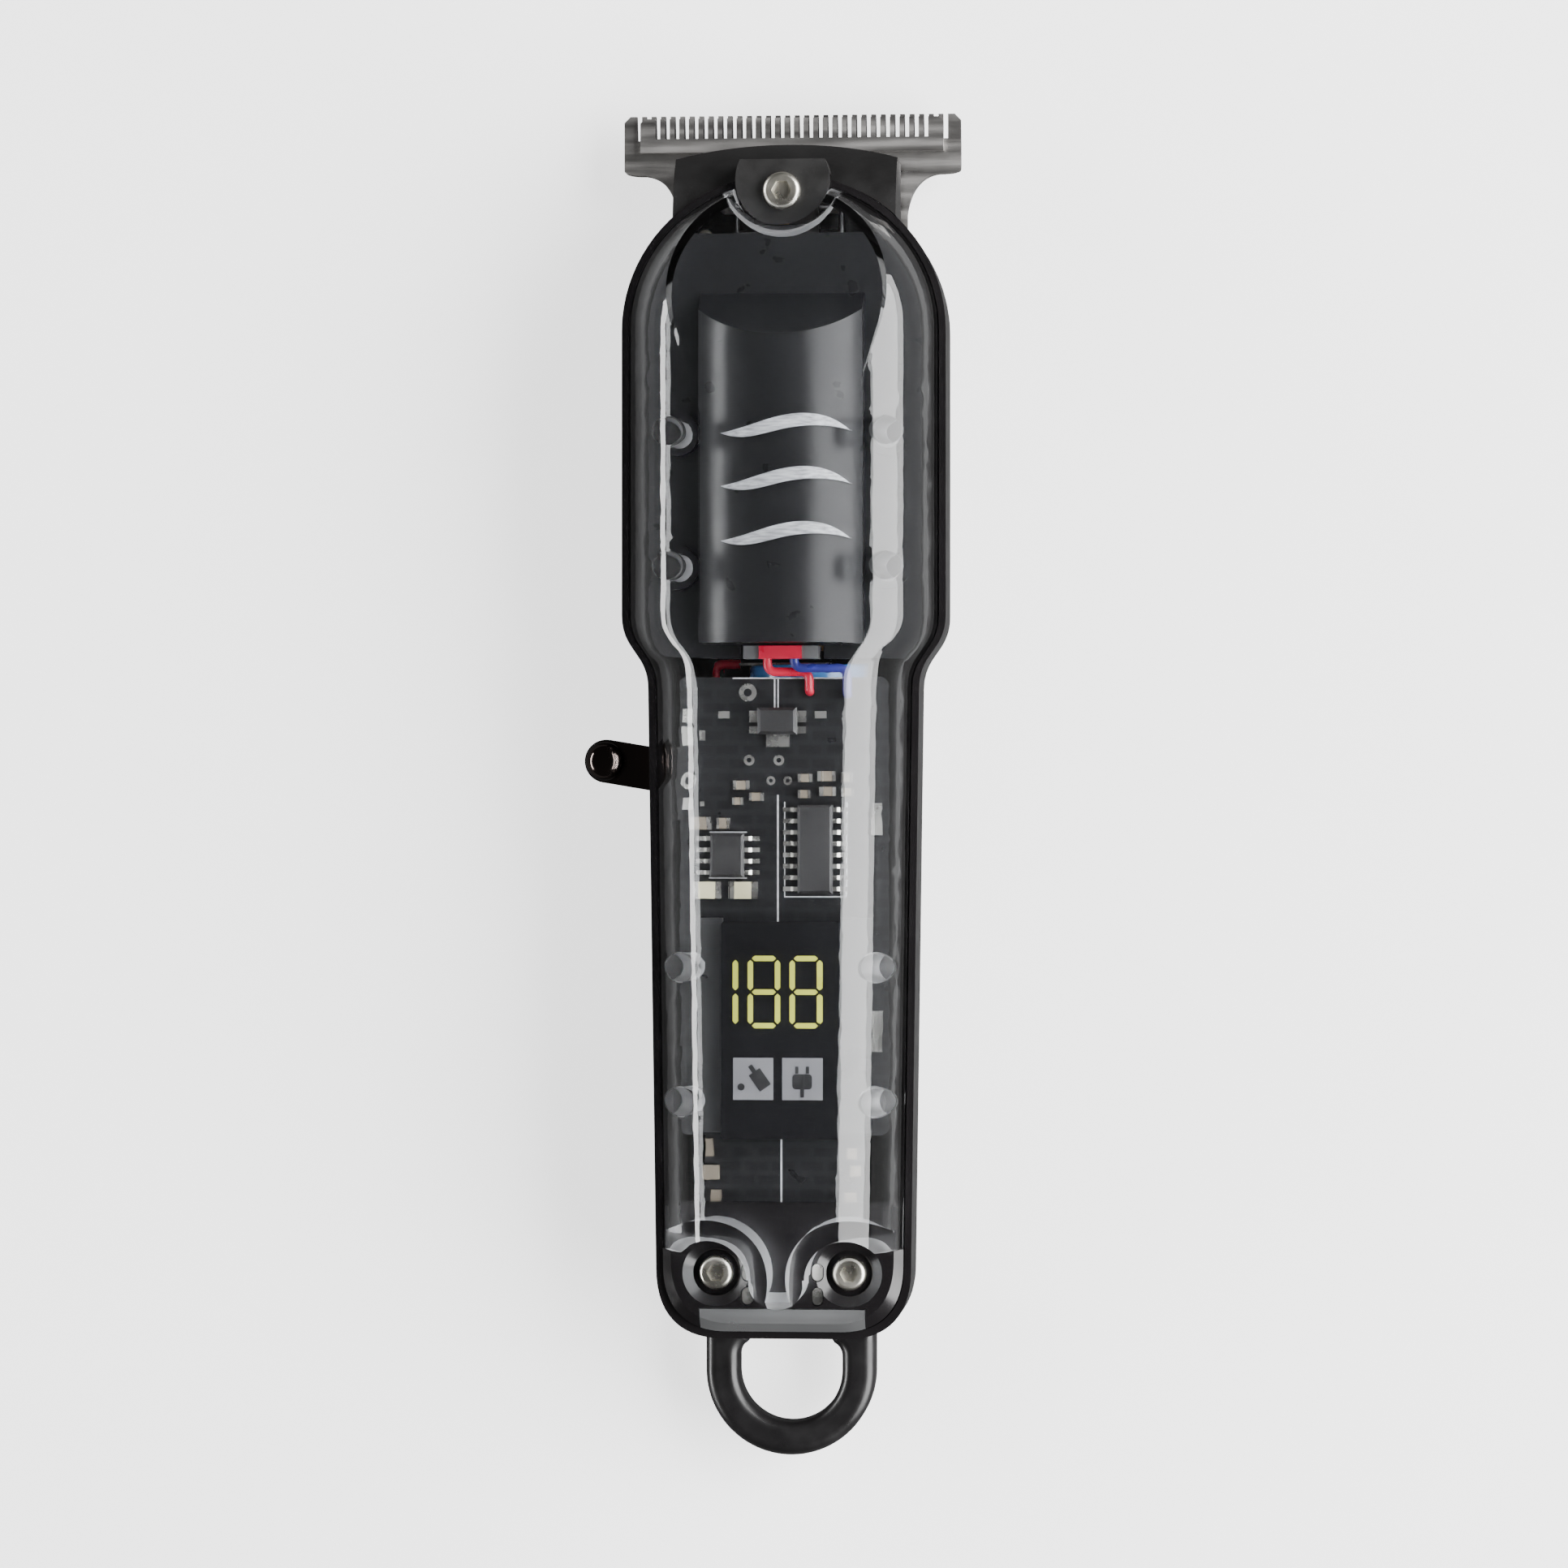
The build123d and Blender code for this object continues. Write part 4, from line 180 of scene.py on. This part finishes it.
def frosted_material(name, shade):
    """Milky clear plastic, slightly blue, of the light bars and clips."""
    n = surface(name, (shade, shade * 1.02, shade * 1.04), 0.35, depth=0.006 * MM, tint=0.05)
    n.shade({"Transmission Weight": 0.6, "IOR": CLEAR_PLASTIC_IOR})
    lets_lamps_through(n, FROSTED_LAMP_TINT)
    return n.material


def glowing_material(name, colour, strength, tint=0.15):
    """Lit display surface with slightly uneven light."""
    n = surface(name, colour, 0.35, grain=0.2 * MM, depth=0.002 * MM, tint=tint)
    level = n.spread(n.noise(GLOW_PATCH_SIZE), 0, 1)
    n.shade({"Emission Color": n.blend(level, rgba(colour, GLOW_LEAST), rgba(colour)),
             "Emission Strength": strength})
    return n.material


# ---- clear cover ----

COVER_LOW, COVER_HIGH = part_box("clear_cover")
COVER_TINT = (0.93, 0.94, 0.95, 1)
COVER_LAMP_TINT = (0.62, 0.62, 0.63, 1)   # how much of the lamps' light gets in
FROST_TINT = (0.80, 0.82, 0.83, 1)
FROST_ROUGHNESS = 0.5
UPRIGHT, NOT_UPRIGHT = 0.15, 0.45         # size of a normal's Z on walls with full and with no frost
EDGE_ZONE_LENGTH = 11 * MM                # lower end of the cover, where the edge is frosted
EDGE_ZONE_FADE = 1 * MM
FROST_HALF_WIDTH = 12 * MM                # the cover's long sides lie outside this and stay clear
FROST_SIDE_BLUR = 0.3 * MM
NOTCH_LIP_RADIUS = 6.8 * MM
NOTCH_BEYOND_SCREW = 1.3 * MM
CYLINDER_BLUR = 0.1 * MM
CYLINDER_TOP_FADE = 1 * MM
PEG_RADIUS = 1.7 * MM
PEG_FROST = 0.7
PEG_TOP = COVER_HIGH[2] - 4.5 * MM
# locating pegs: how far in from the cover's widest side, and the place along the clipper
PEG_PLACES = [(side * (COVER_HIGH[0] - inset), y) for side in (1, -1)
              for inset, y in ((5.65 * MM, 36.2 * MM), (5.65 * MM, 21.2 * MM),
                               (7.15 * MM, -23.5 * MM), (7.15 * MM, -38.5 * MM))]
SMEAR_SIZE = 14 * MM
SMEAR_ROUGHNESS = (0.01, 0.045)
RIPPLE_SIZE = 22 * MM
RIPPLE_DEPTH = 0.02 * MM
RIPPLE_STRENGTH = 0.4


def in_cylinder(n, axes, x, y, radius, top):
    """1 inside an upright cylinder at x, y and below its top."""
    inside = n.spread(n.away((x, y, 0), axes, "XY"), 1, 0, radius, radius + CYLINDER_BLUR)
    below = n.spread(axes["Z"], 1, 0, top, top + CYLINDER_TOP_FADE)
    return n.math("MULTIPLY", inside, below)


def clear_cover_material():
    """Polished clear plastic with frosted pegs, and frosted walls at the notch and the lower edge."""
    n = Nodes("clear_cover_plastic")
    axes = n.axes(n.place)
    facing = n.axes(n.add("ShaderNodeTexCoord").outputs["Normal"])
    upright = n.spread(n.math("ABSOLUTE", facing["Z"]), 1, 0, UPRIGHT, NOT_UPRIGHT)
    edge_top = COVER_LOW[1] + EDGE_ZONE_LENGTH
    edge_zone = n.spread(axes["Y"], 1, 0, edge_top, edge_top + EDGE_ZONE_FADE)
    screw_low, screw_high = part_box("cover_top_screw")
    notch_y = (screw_low[1] + screw_high[1]) / 2 + NOTCH_BEYOND_SCREW
    notch_zone = in_cylinder(n, axes, 0, notch_y, NOTCH_LIP_RADIUS, COVER_HIGH[2])
    inner = n.between(axes["X"], -FROST_HALF_WIDTH, FROST_HALF_WIDTH, FROST_SIDE_BLUR)
    zones = n.math("MAXIMUM", edge_zone, notch_zone)
    frosted = n.math("MULTIPLY", n.math("MULTIPLY", zones, upright), inner)
    for x, y in PEG_PLACES:
        peg = n.math("MULTIPLY", in_cylinder(n, axes, x, y, PEG_RADIUS, PEG_TOP), PEG_FROST)
        frosted = n.math("MAXIMUM", frosted, peg)
    smears = n.spread(n.noise(SMEAR_SIZE, stretch=(1, 3, 1)), *SMEAR_ROUGHNESS)
    rough = n.add("ShaderNodeMix", {"Factor": frosted, "A": smears, "B": FROST_ROUGHNESS},
                  data_type="FLOAT")
    n.shade({"Roughness": rough.outputs[0], "Base Color": n.blend(frosted, COVER_TINT, FROST_TINT),
             "Transmission Weight": 1.0, "IOR": CLEAR_PLASTIC_IOR})
    n.bump(n.noise(RIPPLE_SIZE, stretch=(1, 2, 1), detail=2.0), RIPPLE_DEPTH, RIPPLE_STRENGTH)
    lets_lamps_through(n, COVER_LAMP_TINT)
    return n.material


# ---- circuit boards ----

BOARD_TINT = (0.0075, 0.0075, 0.0082)
TRACK_DEPTH = 0.006 * MM
PRINT_TINT = (0.75, 0.76, 0.78, 1)
PRINT_WEAR_SIZE = 0.5 * MM
PRINT_COVER = (0.55, 0.95)                # how well the print covers the board, worn and whole
PRINT_BLUR = 0.03 * MM
# white lines printed on the boards: low and high x, low and high y, in millimetres
PRINTED_LINES = [
    (-5.6, 7.9, 8.75, 8.87), (-0.95, -0.80, 4.9, 8.7), (-0.55, -0.42, 4.9, 8.7),
    (-0.60, -0.42, -19.0, -4.3), (-0.36, -0.18, -51.7, -43.0), (-5.3, -0.9, -42.4, -42.28),
    (0.2, 7.3, -15.8, -15.68), (0.2, 0.32, -15.7, -5.1), (7.2, 7.32, -15.7, -5.1),
    (-8.4, -4.0, -8.55, -8.43), (-8.4, -4.0, -13.7, -13.58),
]


def board_material():
    """Black solder mask over faint copper tracks, with white printed lines."""
    n = surface("board_black_mask", BOARD_TINT, 0.30, depth=0.002 * MM, worn=0.03)
    tracks = n.add("ShaderNodeTexBrick", {
        "Vector": n.place, "Scale": 160.0, "Mortar Size": 0.05, "Bias": 0.1,
        "Color1": rgba(BOARD_TINT), "Color2": rgba(BOARD_TINT, 1.3),
        "Mortar": rgba(BOARD_TINT, 1.8)}).outputs
    axes = n.axes(n.place)
    printed = 0.0
    for x_low, x_high, y_low, y_high in PRINTED_LINES:
        across = n.between(axes["X"], x_low * MM, x_high * MM, PRINT_BLUR)
        along = n.between(axes["Y"], y_low * MM, y_high * MM, PRINT_BLUR)
        printed = n.math("MAXIMUM", printed, n.math("MULTIPLY", across, along))
    wear = n.spread(n.noise(PRINT_WEAR_SIZE), *PRINT_COVER)
    worn_print = n.math("MULTIPLY", printed, wear)
    n.shade({"Base Color": n.blend(worn_print, tracks["Color"], PRINT_TINT)})
    n.bump(tracks["Fac"], TRACK_DEPTH, strength=0.5)
    return n.material


# ---- motor cover ----

MOTOR_COVER_TINT = (0.011, 0.011, 0.012)
# pale colour painted on the tops of the waves as a highlight
WAVE_HIGHLIGHT_TINT = (0.55, 0.56, 0.58, 1)
WAVE_HIGHLIGHT_STARTS, WAVE_HIGHLIGHT_FULL = 0.42 * MM, 0.25 * MM    # the painted highlight fades in between these depths below the tops of the waves
# streaky noise that breaks the painted highlight into patches
HIGHLIGHT_PATCH_SIZE = 0.5 * MM
HIGHLIGHT_COVER = (0.35, 1.0)
BULGE_MARGIN = 1 * MM                     # beyond the motor on each side
BULGE_BLUR = 0.1 * MM


def motor_cover_material():
    """Glossy black moulding; the tops of its three raised waves carry a pale painted highlight, broken
    into patches.
    """
    n = surface("motor_cover_gloss", MOTOR_COVER_TINT, 0.30, grain=0.3 * MM, depth=0.001 * MM,
                worn=0.03)
    n.shade({"Specular IOR Level": 0.28})
    axes = n.axes(n.place)
    can_low, can_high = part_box("motor_can")
    axis_z = (can_low[2] + can_high[2]) / 2
    wave_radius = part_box("motor_cover")[1][2] - axis_z
    raised = n.spread(n.away((0, 0, axis_z), axes, "XZ"), 0, 1,
                      wave_radius - WAVE_HIGHLIGHT_STARTS, wave_radius - WAVE_HIGHLIGHT_FULL)
    highlight_breakup = n.spread(n.noise(HIGHLIGHT_PATCH_SIZE, stretch=(4, 0.6, 1)), *HIGHLIGHT_COVER)
    on_bulge = n.between(axes["X"], can_low[0] - BULGE_MARGIN, can_high[0] + BULGE_MARGIN, BULGE_BLUR)
    # painted highlight: pale colour on the wave tops over the bulge, in patches
    painted_highlight = n.math("MULTIPLY", n.math("MULTIPLY", raised, highlight_breakup), on_bulge)
    n.shade({"Base Color": n.blend(painted_highlight, rgba(MOTOR_COVER_TINT), WAVE_HIGHLIGHT_TINT)})
    return n.material


# ---- finishes of the nodes ----

# what makes the material of each slot in the record
MATERIALS = {
    "housing_black": lambda: opaque(
        "housing_satin_black", (0.0080, 0.0072, 0.0078), 0.20, grain=0.12 * MM, depth=0.0012 * MM,
        tint=0.12, worn=0.06),
    "loop_black": lambda: opaque(
        "loop_satin_black", (0.0085, 0.0080, 0.0085), 0.34, grain=0.1 * MM, depth=0.003 * MM,
        tint=0.15),
    "head_black": lambda: opaque(
        "head_matt_black", (0.0060, 0.0056, 0.0056), 0.55, grain=0.14 * MM, depth=0.008 * MM,
        tint=0.15),
    "clear": clear_cover_material,
    "frosted": lambda: frosted_material("frosted_plastic", 0.2),
    "blade_steel": lambda: opaque(
        "blade_ground_steel", (0.50, 0.488, 0.475), 0.40, metal=1.0, grain=0.16 * MM,
        depth=0.006 * MM, stretch=(6, 0.5, 1), tint=0.22, worn=0.14),
    "screw_steel": lambda: opaque(
        "screw_plated", (0.84, 0.81, 0.72), 0.30, metal=1.0, grain=0.25 * MM, depth=0.004 * MM,
        tint=0.12, worn=0.08),
    "spring_steel": lambda: opaque(
        "bright_steel", (0.62, 0.62, 0.63), 0.25, metal=1.0, stretch=(1, 8, 1)),
    "nylon": lambda: opaque("black_nylon", (0.018, 0.017, 0.016), 0.42, tint=0.1),
    "can_steel": lambda: opaque(
        "motor_can_plated", (0.56, 0.56, 0.58), 0.28, metal=1.0, stretch=(1, 10, 1)),
    "magnet": lambda: opaque("ferrite", (0.10, 0.10, 0.11), 0.7, depth=0.02 * MM),
    "bronze": lambda: opaque("bronze", (0.68, 0.44, 0.20), 0.33, metal=1.0),
    "core_steel": lambda: opaque(
        "laminations", (0.45, 0.27, 0.16), 0.42, metal=1.0, grain=0.5 * MM, stretch=(4, 0.5, 4),
        depth=0.05 * MM),
    "inner_black": motor_cover_material,
    "cell_wrap": lambda: opaque("cell_sleeve", (0.05, 0.20, 0.50), 0.24, coat=0.4),
    "nickel": lambda: opaque(
        "tinned_metal", (0.80, 0.79, 0.75), 0.27, metal=1.0, grain=0.3 * MM, depth=0.02 * MM),
    "wire_red": lambda: opaque("wire_red", (0.42, 0.005, 0.030), 0.32),
    "wire_black": lambda: opaque("wire_black", (0.02, 0.02, 0.02), 0.35, coat=0.2),
    "wire_blue": lambda: opaque("wire_blue", (0.02, 0.022, 0.17), 0.34),
    "board_black": board_material,
    "chip_black": lambda: opaque(
        "moulded_epoxy", (0.016, 0.0155, 0.016), 0.50, grain=0.12 * MM, depth=0.012 * MM),
    "ceramic": lambda: opaque("ceramic", (0.17, 0.145, 0.11), 0.42),
    "lamp": lambda: opaque("lamp_resin", (0.55, 0.52, 0.34), 0.22),
    "display_black": lambda: opaque(
        "display_window", (0.008, 0.008, 0.009), 0.16, coat=0.3, depth=0.002 * MM, worn=0.04),
    "display_glow": lambda: glowing_material("display_digits", (0.42, 0.44, 0.055), 0.42),
    "icon_pale": lambda: glowing_material("display_icon_tiles", (0.16, 0.16, 0.17), 0.22, tint=0.2),
    "icon_dark": lambda: opaque("display_icon_print", (0.014, 0.014, 0.015), 0.4),
    "lever_dark": lambda: opaque(
        "lever_dark_chrome", (0.090, 0.072, 0.066), 0.12, metal=1.0, worn=0.05, grain=0.5 * MM,
        depth=0.003 * MM),
    "slider_white": lambda: opaque("slider_nylon", (0.78, 0.78, 0.75), 0.45, tint=0.06),
}


def give(node, material):
    """Puts a material on every slot of a node."""
    for holder in node.material_slots:
        holder.material = material


def paint_nodes():
    """Gives each CAD node the material of its slot. The display's light strips are dimmer than that."""
    made = {slot: make() for slot, make in MATERIALS.items()}
    for part in frame["record"]["subparts"]:
        give(frame["nodes"][part["node"]], made[part["material_slot"]])
    give(frame["nodes"]["display_side_strips"], frosted_material("display_strip_plastic", 0.06))


# ---- studio ----

FLOOR_SIZE = 6.0
FLOOR_GAP = 0.05 * MM                     # between the floor and the clipper
FLOOR_TINT = (0.83, 0.83, 0.83)
FLOOR_GLOW = 1.7
FLOOR_DIM_TINT = (0.10, 0.10, 0.10, 1)    # for reflections and bounced light
WHITE = (1, 1, 1, 1)
SURROUNDINGS_STRENGTH = 0.05
LIGHT_TARGET = Vector((0, 0, 0))
# soft lights: place, size and power
LIGHTS = {
    "right_light": ((0.66, 0.0, 0.38), (1.1, 0.74), 34),
    "left_light": ((-0.95, 0.0, 0.30), (1.2, 0.16), 15),
}


def lay_floor():
    """Floor that is white to the camera and dim to all other rays, so the clipper reflects dark."""
    bpy.ops.mesh.primitive_plane_add(size=FLOOR_SIZE, location=(0, 0, CAD_LOW[2] - FLOOR_GAP))
    floor = bpy.context.object
    floor.name = "floor"
    white = surface("floor_white", FLOOR_TINT, 0.65, grain=2 * MM, tint=0.01)
    white.shade({"Emission Color": WHITE, "Emission Strength": FLOOR_GLOW})
    dim = white.add("ShaderNodeBsdfDiffuse", {"Color": FLOOR_DIM_TINT})
    white.show("Is Camera Ray", dim, white.shader)
    floor.data.materials.append(white.material)


def light_surroundings():
    """Faint even light from all round."""
    world = bpy.data.worlds.new("surroundings")
    world.use_nodes = True
    background = world.node_tree.nodes["Background"]
    background.inputs["Color"].default_value = WHITE
    background.inputs["Strength"].default_value = SURROUNDINGS_STRENGTH
    bpy.context.scene.world = world


def soft_light(name, place, size, power):
    """Rectangular soft light aimed at LIGHT_TARGET."""
    lamp = bpy.data.lights.new(name, "AREA")
    lamp.shape = "RECTANGLE"
    lamp.size, lamp.size_y = size
    lamp.energy = power
    holder = bpy.data.objects.new(name, lamp)
    holder.location = place
    holder.rotation_euler = (LIGHT_TARGET - Vector(place)).to_track_quat("-Z", "Y").to_euler()
    bpy.context.collection.objects.link(holder)


# ---- camera ----

VIEW_DISTANCE = 612 * MM                  # above the widest level of the casing
VIEW_SIDE = 53.6 * MM                     # right of the clipper's middle plane
VIEW_TOWARDS_TAIL = 3.2 * MM
FIELD_WIDTH = 176 * MM                    # width seen at that distance
SENSOR_WIDTH = 36.0                       # in millimetres, as Blender counts it


def camera():
    """From above and slightly to the right, aimed at the middle of the clipper, blade end up."""
    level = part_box("clear_cover")[0][2]
    place = Vector((VIEW_SIDE, -VIEW_TOWARDS_TAIL, level + VIEW_DISTANCE))
    middle = Vector((0, (CAD_LOW[1] + CAD_HIGH[1]) / 2, level))
    back = (place - middle).normalized()
    right = Vector((0, 1, 0)).cross(back).normalized()
    up = back.cross(right)
    data = bpy.data.cameras.new("camera")
    data.sensor_width = SENSOR_WIDTH
    data.lens = SENSOR_WIDTH * VIEW_DISTANCE / FIELD_WIDTH
    holder = bpy.data.objects.new("camera", data)
    turn = Matrix((right, up, back)).transposed().to_4x4()
    holder.matrix_world = Matrix.Translation(place) @ turn
    bpy.context.collection.objects.link(holder)
    bpy.context.scene.camera = holder


paint_nodes()
lay_floor()
light_surroundings()
for light_name, light in LIGHTS.items():
    soft_light(light_name, *light)
camera()
